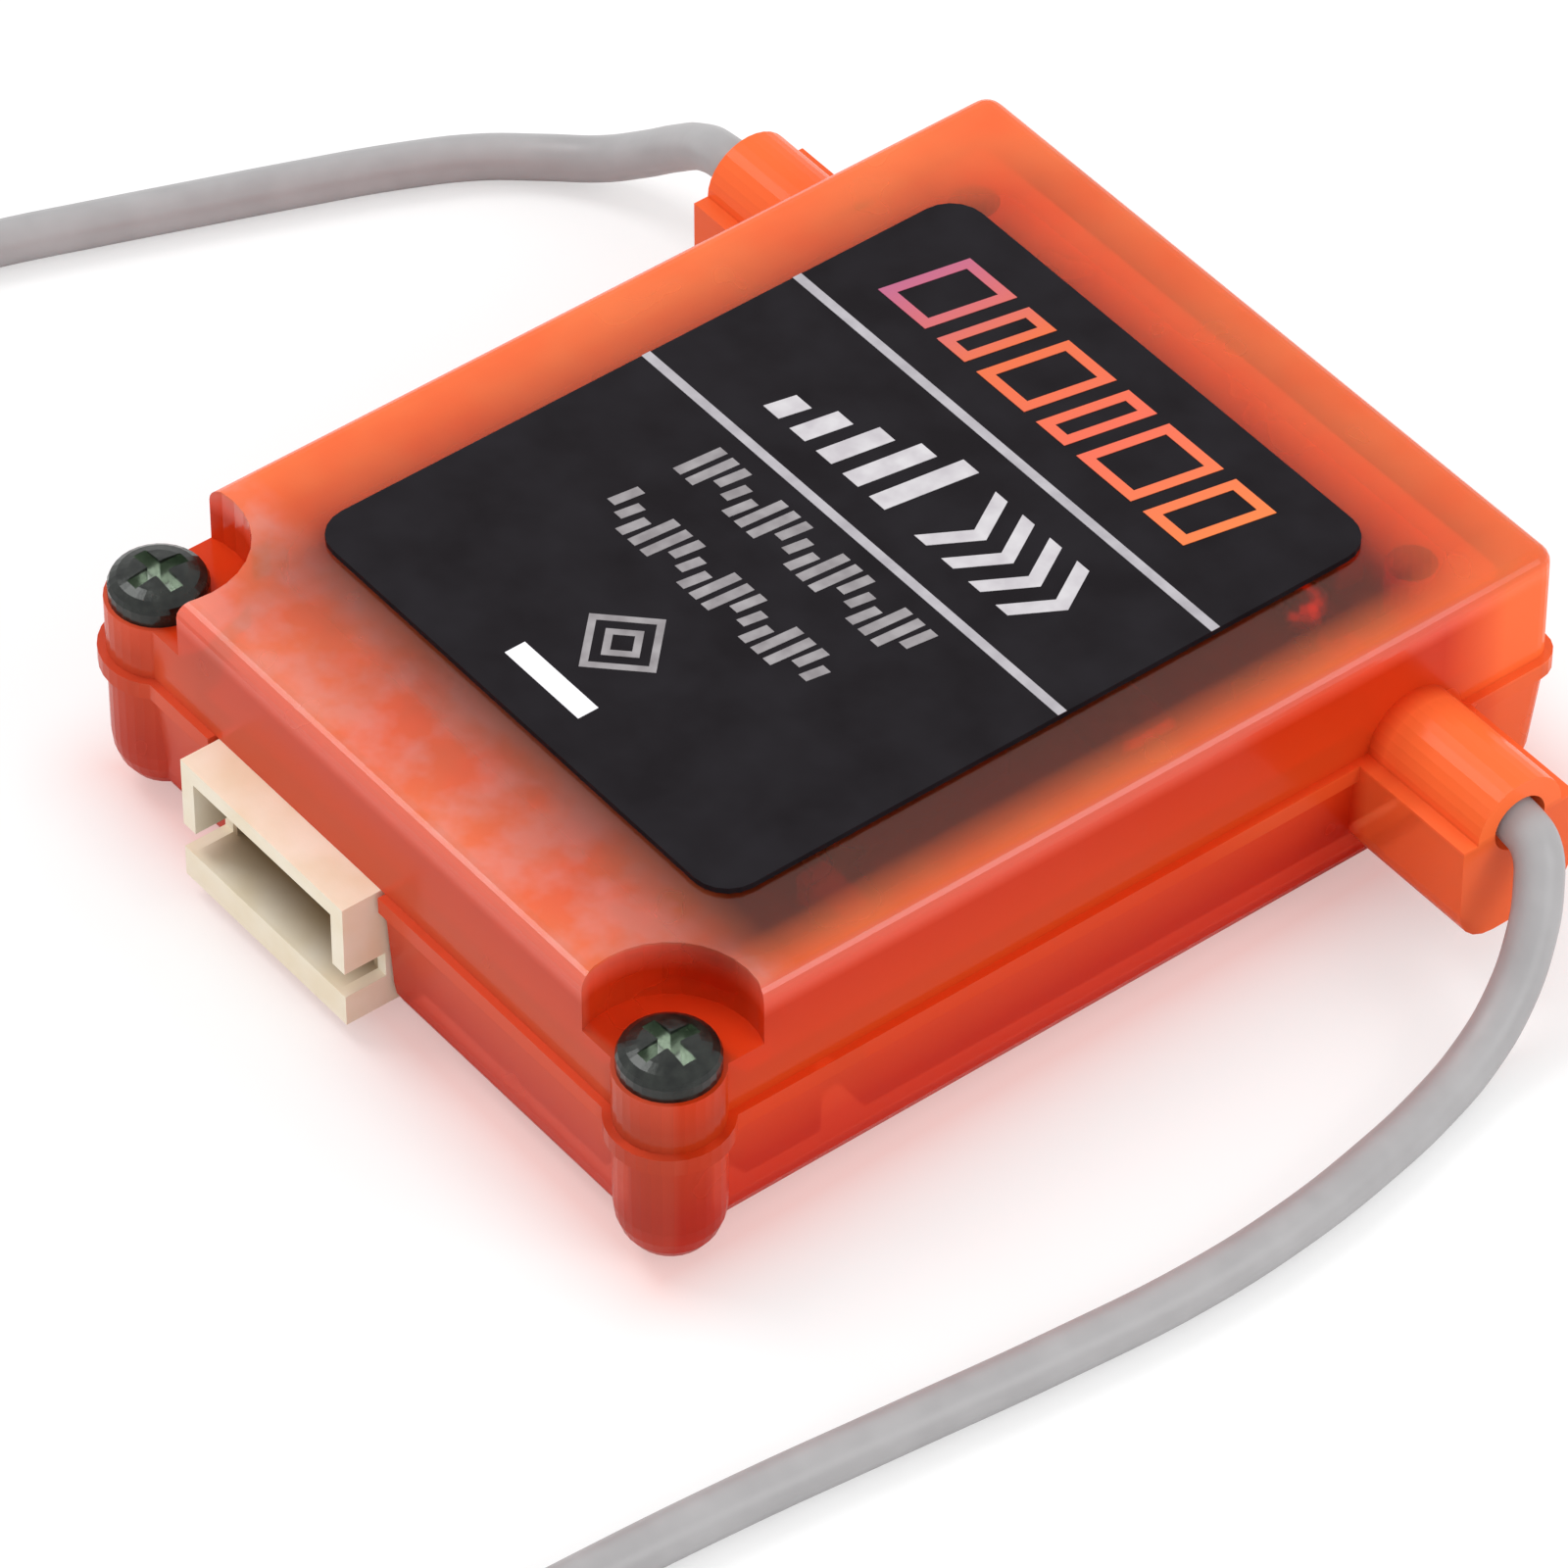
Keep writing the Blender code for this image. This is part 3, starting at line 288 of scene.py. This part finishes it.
def shell_clearness(tree, across, along, height, rearward):
    """High over the middle of the case, lower in its walls and at its left, and lowest at its upper rear."""
    inside = zone(tree, height, 5.4, 6.0)
    for place, milky, clear in (
        (across, 10.0, 8.5), (across, -9.65, -6.8), (along, 12.15, 9.0), (along, -12.05, -8.5),
    ):
        inside = product(tree, inside, zone(tree, place, milky, clear))
    upper = product(tree, zone(tree, height, 3.9, 4.1), zone(tree, height, 6.9, 6.6))
    at_rear = fade(tree, product(tree, upper, rearward), 0.0, 1.0, 0.0, 0.3)
    at_left = zone(tree, across, -6.5, -8.8, 0.0, 0.16)
    milkier = calculate(tree, "MAXIMUM", at_rear, at_left)
    clearness = fade(tree, inside, 0.0, 1.0, WALL_CLEARNESS, ROOF_CLEARNESS)
    return calculate(tree, "SUBTRACT", clearness, milkier)


def shell_material():
    """Translucent orange plastic, with a mottled painted sheen along the roof's front margin and painted
    light and shade on its walls.
    """
    constants = {"IOR": 1.1, "Coat Roughness": 0.15, "Coat IOR": 1.5}
    dark, light = (1.0, 0.15, 0.03), (1.0, 0.2, 0.05)
    material = surface(
        "orange shell", dark, light, 2.5 * MM, (0.2, 0.28), 0.35 * MM, 0.004 * MM, constants,
    )
    tree, shader = open_material(material)
    across, along, height = position(tree)
    # Where the painted rear glow goes, which is also where the shell is milkier
    on_boss = product(tree, zone(tree, absolute(tree, across), 10.0, 10.5), zone(tree, along, 2.0, 4.0))
    rearward = calculate(tree, "MAXIMUM", on_boss, zone(tree, along, 9.2, 11.0))
    walls = wall_colour(tree, across, along, height, rearward)
    mottled = fade(tree, noise(tree, 1.4 * MM, 3.0), 0.4, 0.6, 0.1, 0.5)
    # Painted sheen in mottled patches along the roof's front margin
    roof_sheen = product(tree, zone(tree, along, -8.6, -9.4), mottled)
    roof = blend(tree, roof_sheen, base_colour(shader), ROOF_SHEEN_COLOUR)
    on_roof = zone(tree, height, 6.9, 6.98)
    tree.links.new(blend(tree, on_roof, walls, roof), shader.inputs["Base Color"])
    tree.links.new(zone(tree, height, 6.3, 6.7, 0.18, 0.6), shader.inputs["Coat Weight"])
    clearness = shell_clearness(tree, across, along, height, rearward)
    tree.links.new(clearness, shader.inputs["Transmission Weight"])
    return material


def ink_material(name, dark, light):
    return surface(name, dark, light, 0.5 * MM, (0.4, 0.5), 0.15 * MM, 0.001 * MM)


def rainbow_ink_material():
    """Ink that runs from pink on the left to orange on the right."""
    material, tree, shader = start_material("red ink", {"Roughness": 0.45})
    share = zone(tree, position(tree)[0], -6.0, 6.0)
    stops = [
        (0.0, (0.45, 0.1, 0.22)), (0.3, (0.75, 0.13, 0.03)), (0.6, (0.8, 0.12, 0.06)),
        (1.0, (0.85, 0.2, 0.03)),
    ]
    tree.links.new(ramp(tree, share, stops), shader.inputs["Base Color"])
    add_bump(tree, shader, noise(tree, 0.15 * MM), 0.001 * MM)
    return material


def board_material():
    """Green laminate, with tinned and printed patches towards the header."""
    dark, light = (0.03, 0.045, 0.025), (0.08, 0.1, 0.05)
    material = surface("board", dark, light, 0.8 * MM, (0.3, 0.5), 0.4 * MM, 0.01 * MM)
    tree, shader = open_material(material)
    patches = ramp(tree, noise(tree, 1.1 * MM, 1.0), [(0.42, (0.2, 0.2, 0.1)), (0.58, (0.75, 0.7, 0.6))])
    repaint(tree, shader, zone(tree, position(tree)[1], -8.3, -9.3), patches)
    return material


def screw_material():
    """Blackened steel, painted pale greenish in the cross recess as a glint, on metal bared by wear there.
    """
    dark, light = (0.006, 0.008, 0.007), (0.02, 0.024, 0.02)
    material = surface("black steel", dark, light, 0.3 * MM, (0.15, 0.28), 0.1 * MM, 0.002 * MM)
    tree, shader = open_material(material)
    across, along, height = position(tree)
    aside = absolute(tree, calculate(tree, "SUBTRACT", absolute(tree, across), SCREW_X))
    ahead = absolute(tree, calculate(tree, "SUBTRACT", along, SCREW_Y))
    glint_and_wear = product(
        tree,
        calculate(tree, "LESS_THAN", calculate(tree, "MINIMUM", aside, ahead), RECESS_HALF_SLOT),
        calculate(tree, "LESS_THAN", calculate(tree, "MAXIMUM", aside, ahead), RECESS_HALF_SPAN),
        calculate(tree, "LESS_THAN", height, RECESS_TOP),
    )
    # Painted glint in the cross recess, over bared metal
    repaint(tree, shader, glint_and_wear, (0.32, 0.37, 0.31))
    tree.links.new(fade(tree, glint_and_wear, 0.0, 1.0, 0.3, 1.0), shader.inputs["Metallic"])
    return material


def nylon_material():
    """Cream nylon, browner in the header's mouth as painted shade."""
    dark, light = (0.87, 0.76, 0.56), (0.93, 0.85, 0.7)
    material = surface("cream nylon", dark, light, 1.2 * MM, (0.35, 0.5), 0.1 * MM, 0.002 * MM)
    tree, shader = open_material(material)
    across, along, height = position(tree)
    mouth_shade = fade(tree, along, HEADER_FRONT + 0.1 * MM, HEADER_FRONT + 1.2 * MM, 0.0, 0.9)
    for place, (low, high) in ((across, MOUTH_ACROSS), (height, MOUTH_HEIGHT)):
        above = calculate(tree, "GREATER_THAN", place, low)
        below = calculate(tree, "LESS_THAN", place, high)
        mouth_shade = product(tree, mouth_shade, above, below)
    # Painted shade inside the header's mouth
    repaint(tree, shader, mouth_shade, (0.3, 0.19, 0.09))
    return material


def dress(node, material):
    """Puts a finish on a CAD node and shades it smooth between its sharp edges."""
    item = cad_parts[node]
    item.material_slots[0].material = material
    item.data.shade_smooth()
    item.data.set_sharp_from_angle(angle=math.radians(30))
    return item


def soften(item, width, segments=2):
    """Rounds the sharp edges of an object a little."""
    bevel = item.modifiers.new("softened", "BEVEL")
    bevel.width = width
    bevel.segments = segments
    bevel.limit_method = "ANGLE"
    bevel.angle_limit = math.radians(35)
    bevel.use_clamp_overlap = True
    bevel.harden_normals = False
    return bevel


def round_top(item, width):
    """Rounds the long outer edges of the case's top more than its other edges."""
    near = 0.01 * MM
    corners = item.data.vertices
    chosen = []
    for edge in item.data.edges:
        ends = [corners[index].co for index in edge.vertices]
        on_top = all(abs(end.z - CASE_TOP) < near for end in ends)
        on_side = all(abs(abs(end.x) - CASE_HALF_WIDTH) < near for end in ends)
        on_end = all(abs(abs(end.y) - CASE_HALF_LENGTH) < near for end in ends)
        if on_top and (on_side or on_end):
            chosen.append(edge.index)
    weights = item.data.attributes.new("bevel_weight_edge", "FLOAT", "EDGE")
    for index in chosen:
        weights.data[index].value = 1.0
    bevel = soften(item, width, 4)
    bevel.limit_method = "WEIGHT"
    bevel.use_clamp_overlap = False


def add_piece(name, data, material):
    item = bpy.data.objects.new(name, data)
    bpy.context.scene.collection.objects.link(item)
    data.materials.append(material)
    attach(item, BODY)
    return item


def finish_mesh(name, bm):
    """A mesh from a closed bmesh, with its faces pointing out."""
    bmesh.ops.recalc_face_normals(bm, faces=bm.faces)
    mesh = bpy.data.meshes.new(name)
    bm.to_mesh(mesh)
    bm.free()
    return mesh


def bridge(bm, low, high):
    """A strip of faces between two closed rings of vertices."""
    for index in range(len(low)):
        following = (index + 1) % len(low)
        bm.faces.new((low[index], low[following], high[following], high[index]))


def inset(points, depth):
    """The same outline, counter-clockwise, with each side moved inwards."""
    moved = []
    for before, here, after in zip(points[-1:] + points[:-1], points, points[1:] + points[:1]):
        arriving = (Vector(here) - Vector(before)).normalized()
        leaving = (Vector(after) - Vector(here)).normalized()
        inward = Vector((-arriving.y - leaving.y, arriving.x + leaving.x))
        share = depth / (1 + arriving.dot(leaving))
        moved.append(tuple(Vector(here) + inward * share))
    return moved


def make_camera():
    back = Vector((
        math.sin(VIEW_AZIMUTH) * math.cos(VIEW_ELEVATION),
        -math.cos(VIEW_AZIMUTH) * math.cos(VIEW_ELEVATION),
        math.sin(VIEW_ELEVATION),
    ))
    right = Vector((math.cos(VIEW_AZIMUTH), math.sin(VIEW_AZIMUTH), 0))
    upward = back.cross(right)
    turn = Matrix((right, upward, back)).transposed().to_4x4()
    data = bpy.data.cameras.new("camera")
    data.lens = VIEW_LENS
    data.sensor_width = SENSOR_WIDTH
    data.sensor_fit = "HORIZONTAL"
    data.shift_y = VIEW_SHIFT_Y
    data.clip_start = 0.005
    camera = bpy.data.objects.new("camera", data)
    camera.matrix_world = Matrix.Translation(VIEW_TARGET + VIEW_DISTANCE * back) @ turn
    bpy.context.scene.collection.objects.link(camera)
    bpy.context.scene.camera = camera


def add_tube(name, points, diameter, material):
    curve = bpy.data.curves.new(name, "CURVE")
    curve.dimensions = "3D"
    curve.bevel_depth = diameter / 2
    curve.bevel_resolution = 5
    curve.resolution_u = 6
    curve.use_fill_caps = True
    spline = curve.splines.new("BEZIER")
    spline.bezier_points.add(len(points) - 1)
    for target, point in zip(spline.bezier_points, points):
        target.co = point
        target.handle_left_type = "AUTO"
        target.handle_right_type = "AUTO"
    return add_piece(name, curve, material)


def ring_point(centre, radius, angle, z):
    return centre + Vector((radius * math.cos(angle), radius * math.sin(angle), z))


def coil_points(centre, turns):
    """Points along a coax's turns, from the first at the coil's outside to the last inside."""
    count = round(turns * COIL_POINTS_PER_TURN)
    points = []
    for step in range(1, count + 1):
        share = step / count
        angle = math.pi + 2 * math.pi * turns * share
        radius = COIL_FIRST_RADIUS + (COIL_LAST_RADIUS - COIL_FIRST_RADIUS) * share
        points.append(ring_point(centre, radius, angle, COIL_LIE))
    return points


def tip_points(centre, start_angle):
    """Points along a stripped end, which settles from the end of its coax into turns of its own."""
    turns = TIP_LENGTH / (math.pi * (TIP_OUTER_RADIUS + TIP_INNER_RADIUS))
    count = round(turns * COIL_POINTS_PER_TURN)
    settling_steps = COIL_POINTS_PER_TURN // 3
    points = []
    for step in range(count + 1):
        share = step / count
        settled = min(step / settling_steps, 1.0)
        settled = settled * settled * (3 - 2 * settled)
        angle = start_angle + 2 * math.pi * turns * share
        radius = TIP_OUTER_RADIUS + (TIP_INNER_RADIUS - TIP_OUTER_RADIUS) * share
        radius += (COIL_LAST_RADIUS - TIP_OUTER_RADIUS) * (1 - settled)
        z = COIL_LIE + (TIP_LIE - COIL_LIE) * settled
        points.append(ring_point(centre, radius, angle, z))
    return points


def add_tie(name, centre, material):
    """A band of tape round the turns of a coil, across them at one place."""
    outer = [(r * MM, z * MM) for r, z in TIE_OUTLINE]
    inner = inset(outer, TIE_THICKNESS)
    outward = Vector((math.cos(TIE_ANGLE), math.sin(TIE_ANGLE), 0))
    sideways = Vector((-outward.y, outward.x, 0))
    bm = bmesh.new()
    rings = []
    for outline, offset in (
        (outer, -TIE_HALF_WIDTH), (outer, TIE_HALF_WIDTH), (inner, TIE_HALF_WIDTH), (inner, -TIE_HALF_WIDTH),
    ):
        start = centre + sideways * offset
        rings.append([bm.verts.new(start + outward * r + Vector((0, 0, z))) for r, z in outline])
    for here, there in zip(rings, rings[1:] + rings[:1]):
        bridge(bm, here, there)
    add_piece(name, finish_mesh(name, bm), material)


def make_aerials():
    jacket = surface(
        "grey jacket", (0.35, 0.34, 0.345), (0.4, 0.39, 0.395), 1.2 * MM, (0.4, 0.5), 0.2 * MM, 0.004 * MM,
    )
    core = surface(
        "clear core", (0.55, 0.5, 0.44), (0.7, 0.66, 0.6), 1.5 * MM, (0.3, 0.4), 0.2 * MM, 0.002 * MM,
    )
    copper = surface(
        "copper core", (0.3, 0.14, 0.06), (0.4, 0.2, 0.1), 0.5 * MM, (0.35, 0.5), 0.1 * MM,
        0.002 * MM, METAL,
    )
    tape = surface(
        "white tape", (0.72, 0.71, 0.68), (0.8, 0.79, 0.76), 1.5 * MM, (0.45, 0.6), 0.15 * MM, 0.003 * MM,
    )
    for side, sign in (("left", -1), ("right", 1)):
        route = [Vector(point) * MM for point in ROUTES[side]]
        centre = Vector((*COIL_CENTRES[side], 0)) * MM
        laid = sum((there - here).length for here, there in zip(route, route[1:]))
        turns = (LEAD_LENGTH - laid) / (math.pi * (COIL_FIRST_RADIUS + COIL_LAST_RADIUS))
        inside = [Vector((sign * x, BOSS_Y, LEAD_Z)) for x in LEAD_INSIDE_X]
        points = inside + route + coil_points(centre, turns)
        lead = add_tube(f"aerial_wire_{side}", points, LEAD_DIAMETER, jacket)
        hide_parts(f"aerial_lead_{side}", f"aerial_coil_{side}")

        tip = tip_points(centre, math.pi + 2 * math.pi * turns)
        bare = add_tube(f"aerial_end_{side}", tip, TIP_DIAMETER, core)
        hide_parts(f"aerial_tip_{side}")
        add_tie(f"coil_tie_{side}", centre, tape)
        rise = [Vector((sign * x * MM, BOSS_Y, z * MM)) for x, z in CORE_RISE]
        add_tube(f"lead_core_{side}", rise, CORE_DIAMETER, copper)


def block(x, v, width, height, slant=0.0):
    """A parallelogram with its lower left corner at (x, v)."""
    return [(x, v), (x + width, v), (x + width + slant, v + height), (x + slant, v + height)]


def chevron(x, v, width, height, stroke):
    """An arrowhead that points right, with its lower left corner at (x, v)."""
    middle = v + height / 2
    return [
        (x, v), (x + stroke, v), (x + width, middle), (x + stroke, v + height), (x, v + height),
        (x + width - stroke, middle),
    ]


def diamond(x, v, half):
    return [(x, v - half), (x + half, v), (x, v + half), (x - half, v)]


def add_print(name, material, solid=(), hollow=(), stroke=0.0):
    """Thin patches of ink on the label: solid outlines, and hollow ones drawn with a stroke."""
    bm = bmesh.new()

    def level(points, z):
        return [bm.verts.new(Vector((x, LABEL_FRONT_Y + v, z)) * MM) for x, v in points]

    bottom, top = LABEL_TOP_Z, LABEL_TOP_Z + INK_THICKNESS
    for outline in solid:
        low, high = level(outline, bottom), level(outline, top)
        bm.faces.new(list(reversed(low)))
        bm.faces.new(high)
        bridge(bm, low, high)
    for outline in hollow:
        inner = inset(outline, stroke)
        rings = [level(outline, bottom), level(outline, top), level(inner, top), level(inner, bottom)]
        for here, there in zip(rings, rings[1:] + rings[:1]):
            bridge(bm, here, there)
    add_piece(name, finish_mesh(name, bm), material)


def outlined_blocks():
    """A row of six outlined blocks, some wide and some narrow."""
    gap = 0.42
    blocks = []
    x = -5.9
    for width in (1.7, 1.0, 1.7, 1.0, 1.9, 1.4):
        blocks.append(block(x, 14.8, width, 2.3, PRINT_SLANT))
        x += width + gap
    return blocks


def rising_bars(v, spacing):
    """Five bars, each taller than the one before."""
    bars = []
    for index, height in enumerate((0.8, 1.2, 1.6, 2.0, 2.4)):
        bars.append(block(-4.4 + spacing * index, v, 0.55, height, 0.1 + 0.1 * height))
    return bars


def small_bars():
    """Two rows of thin bars of mixed heights."""
    spacing = 0.44
    bars = []
    for first, v, count, height in ((-4.0, 7.5, 18, 1.25), (-4.1, 5.3, 17, 1.2)):
        for index in range(count):
            kind = (index * 7 + count) % 5
            low = v + (0.0, 0.0, 0.45, 0.0, 0.3)[kind]
            tall = height * (1.0, 0.6, 0.64, 1.0, 0.5)[kind]
            bars.append(block(first + spacing * index, low, 0.27, tall, 0.1))
    return bars


def make_label_print():
    pale = ink_material("pale ink", (0.5, 0.47, 0.5), (0.62, 0.6, 0.62))
    grey = ink_material("grey ink", (0.22, 0.2, 0.21), (0.34, 0.32, 0.33))
    white = ink_material("white ink", (0.85, 0.83, 0.86), (0.92, 0.9, 0.93))
    dull = ink_material("dull ink", (0.36, 0.34, 0.37), (0.46, 0.44, 0.47))

    line = 0.24
    lines = [block(-LABEL_HALF_WIDTH, v - line / 2, 2 * LABEL_HALF_WIDTH, line) for v in (13.65, 9.35)]
    add_print("print_lines", dull, lines)
    add_print("print_bar", white, [block(-1.54, 1.0, 2.64, 0.55)])
    add_print("print_red_frames", rainbow_ink_material(), hollow=outlined_blocks(), stroke=0.28)
    large_v, large_spacing = 10.35, 0.95
    chevrons = [chevron(1.0 + large_spacing * index, large_v, 1.1, 2.3, 0.42) for index in range(4)]
    add_print("print_large_marks", pale, rising_bars(large_v, large_spacing) + chevrons)
    add_print("print_small_marks", grey, small_bars())
    diamonds = [diamond(-0.2, 3.2, half) for half in (1.2, 0.6)]
    add_print("print_diamonds", grey, hollow=diamonds, stroke=0.18)


def dress_case():
    shell = shell_material()
    upper = dress("upper_case", shell)
    round_top(upper, TOP_ROUNDING)
    soften(upper, 0.08 * MM)
    soften(dress("lower_case", shell), 0.08 * MM)


def dress_outer_parts():
    film = surface(
        "label film", (0.009, 0.007, 0.009), (0.015, 0.013, 0.016), 1.5 * MM, (0.4, 0.55), 0.12 * MM,
        0.002 * MM, {"Specular IOR Level": 0.06},
    )
    dress("label", film)
    steel = screw_material()
    for side in ("left", "right"):
        soften(dress(f"case_screw_{side}", steel), 0.04 * MM)
    soften(dress("header_housing", nylon_material()), 0.05 * MM)


def dress_board():
    tinned = surface(
        "tinned metal", (0.62, 0.6, 0.56), (0.75, 0.73, 0.7), 0.4 * MM, (0.2, 0.35), 0.1 * MM,
        0.002 * MM, METAL,
    )
    nickel = surface(
        "crystal can", (0.28, 0.27, 0.25), (0.38, 0.37, 0.34), 0.5 * MM, (0.35, 0.5), 0.08 * MM,
        0.002 * MM, METAL,
    )
    resin = surface(
        "black resin", (0.015, 0.015, 0.017), (0.03, 0.03, 0.033), 0.5 * MM, (0.45, 0.6), 0.06 * MM,
        0.003 * MM,
    )
    ceramic = surface(
        "ceramic", (0.22, 0.16, 0.1), (0.32, 0.23, 0.15), 0.5 * MM, (0.4, 0.55), 0.06 * MM, 0.002 * MM,
    )
    glaze = surface(
        "resistor glaze", (0.02, 0.02, 0.025), (0.04, 0.04, 0.045), 0.4 * MM, (0.25, 0.4), 0.08 * MM,
        0.002 * MM,
    )
    yellow = surface(
        "yellow resin", (0.6, 0.38, 0.06), (0.75, 0.5, 0.1), 0.8 * MM, (0.4, 0.55), 0.08 * MM, 0.003 * MM,
    )
    lens = surface(
        "clear lens", (0.7, 0.66, 0.58), (0.85, 0.8, 0.7), 0.4 * MM, (0.12, 0.2), 0.1 * MM, 0.001 * MM,
        {"Transmission Weight": 0.5},
    )
    finishes = {
        board_material(): ["main_board"],
        tinned: [
            "header_pin_1", "header_pin_2", "header_pin_3", "header_tab_left", "header_tab_right",
            "aerial_joint_left", "aerial_joint_right",
        ],
        nickel: ["radio_crystal", "clock_crystal"],
        resin: ["radio_chip", "microcontroller", "memory_chip", "aerial_switch", "voltage_regulator"],
        ceramic: [
            "matching_coil_left", "matching_coil_right", *(f"capacitor_{number}" for number in range(1, 7)),
        ],
        glaze: [f"resistor_{number}" for number in range(1, 5)],
        yellow: ["smoothing_capacitor"],
        lens: ["status_light"],
    }
    for finish, nodes in finishes.items():
        for node in nodes:
            dress(node, finish)


def seen_directly(tree):
    """1 for rays that show the background to the camera, also by way of gloss or glass, and 0 for others."""
    path = add_node(tree, "ShaderNodeLightPath").outputs
    first = calculate(tree, "MAXIMUM", path["Is Camera Ray"], path["Is Glossy Ray"])
    return calculate(tree, "MAXIMUM", first, path["Is Transmission Ray"])


def floor_glow(tree):
    """How much orange light comes through the case onto the floor: 1 beside its walls and 0 farther away."""
    across, along, _ = position(tree)
    away = []
    for place, half in ((across, CASE_HALF_WIDTH), (along, CASE_HALF_LENGTH)):
        outside = calculate(tree, "SUBTRACT", absolute(tree, place), half)
        away.append(calculate(tree, "MAXIMUM", outside, 0.0))
    combined = add_node(tree, "ShaderNodeCombineXYZ", {"X": away[0], "Y": away[1]}).outputs[0]
    length = add_node(tree, "ShaderNodeVectorMath", {0: combined}, operation="LENGTH").outputs["Value"]
    return calculate(tree, "POWER", fade(tree, length, 0.0, GLOW_REACH, 1.0, 0.0), 2.0)


def make_world(scene):
    """White where the camera sees it, and a plain pale light otherwise."""
    world = bpy.data.worlds.new("studio")
    world.use_nodes = True
    scene.world = world
    tree = world.node_tree
    background = tree.nodes["Background"]
    strength = fade(tree, seen_directly(tree), 0.0, 1.0, WORLD_STRENGTH, 1.0)
    tree.links.new(strength, background.inputs["Strength"])
    background.inputs["Color"].default_value = (1.0, 1.0, 1.0, 1.0)


def floor_material():
    """White, with the object's shadow on it and orange light beside the case."""
    material, tree, shader = start_material("floor", {"Roughness": 0.9, "Specular IOR Level": 0.0})
    pale = ramp(tree, seen_directly(tree), [(0.0, (0.8, 0.8, 0.8)), (1.0, (1.0, 1.0, 1.0))])
    glow = floor_glow(tree)
    tree.links.new(blend(tree, glow, pale, GLOW_COLOUR), shader.inputs["Base Color"])
    path = add_node(tree, "ShaderNodeLightPath").outputs
    seen_share = calculate(tree, "MULTIPLY", path["Is Camera Ray"], 0.5)
    share = calculate(tree, "ADD", seen_share, path["Is Transmission Ray"])
    shade = blend(tree, glow, (1.0, 1.0, 1.0), GLOW_COLOUR)
    white = add_node(tree, "ShaderNodeEmission", {"Color": shade, "Strength": 1.0}).outputs[0]
    shown = add_node(tree, "ShaderNodeMixShader", {0: share, 1: shader.outputs[0], 2: white}).outputs[0]
    tree.links.new(shown, tree.nodes["Material Output"].inputs["Surface"])
    return material


def make_stage():
    scene = bpy.context.scene
    scene.view_settings.view_transform = "Standard"
    make_world(scene)

    half = FLOOR_HALF_SIZE
    corners = [(-half, -half, 0), (half, -half, 0), (half, half, 0), (-half, half, 0)]
    mesh = bpy.data.meshes.new("floor")
    mesh.from_pydata(corners, [], [(0, 1, 2, 3)])
    mesh.materials.append(floor_material())
    floor = bpy.data.objects.new("floor", mesh)
    scene.collection.objects.link(floor)

    for name, energy, place in LAMPS:
        lamp_data = bpy.data.lights.new(name, "AREA")
        lamp_data.shape = "SQUARE"
        lamp_data.size = LAMP_SIZE
        lamp_data.energy = energy
        lamp = bpy.data.objects.new(name, lamp_data)
        lamp.location = place
        lamp.rotation_euler = (-lamp.location).to_track_quat("-Z", "Y").to_euler()
        scene.collection.objects.link(lamp)


make_camera()
make_aerials()
dress_case()
dress_outer_parts()
dress_board()
make_label_print()
make_stage()
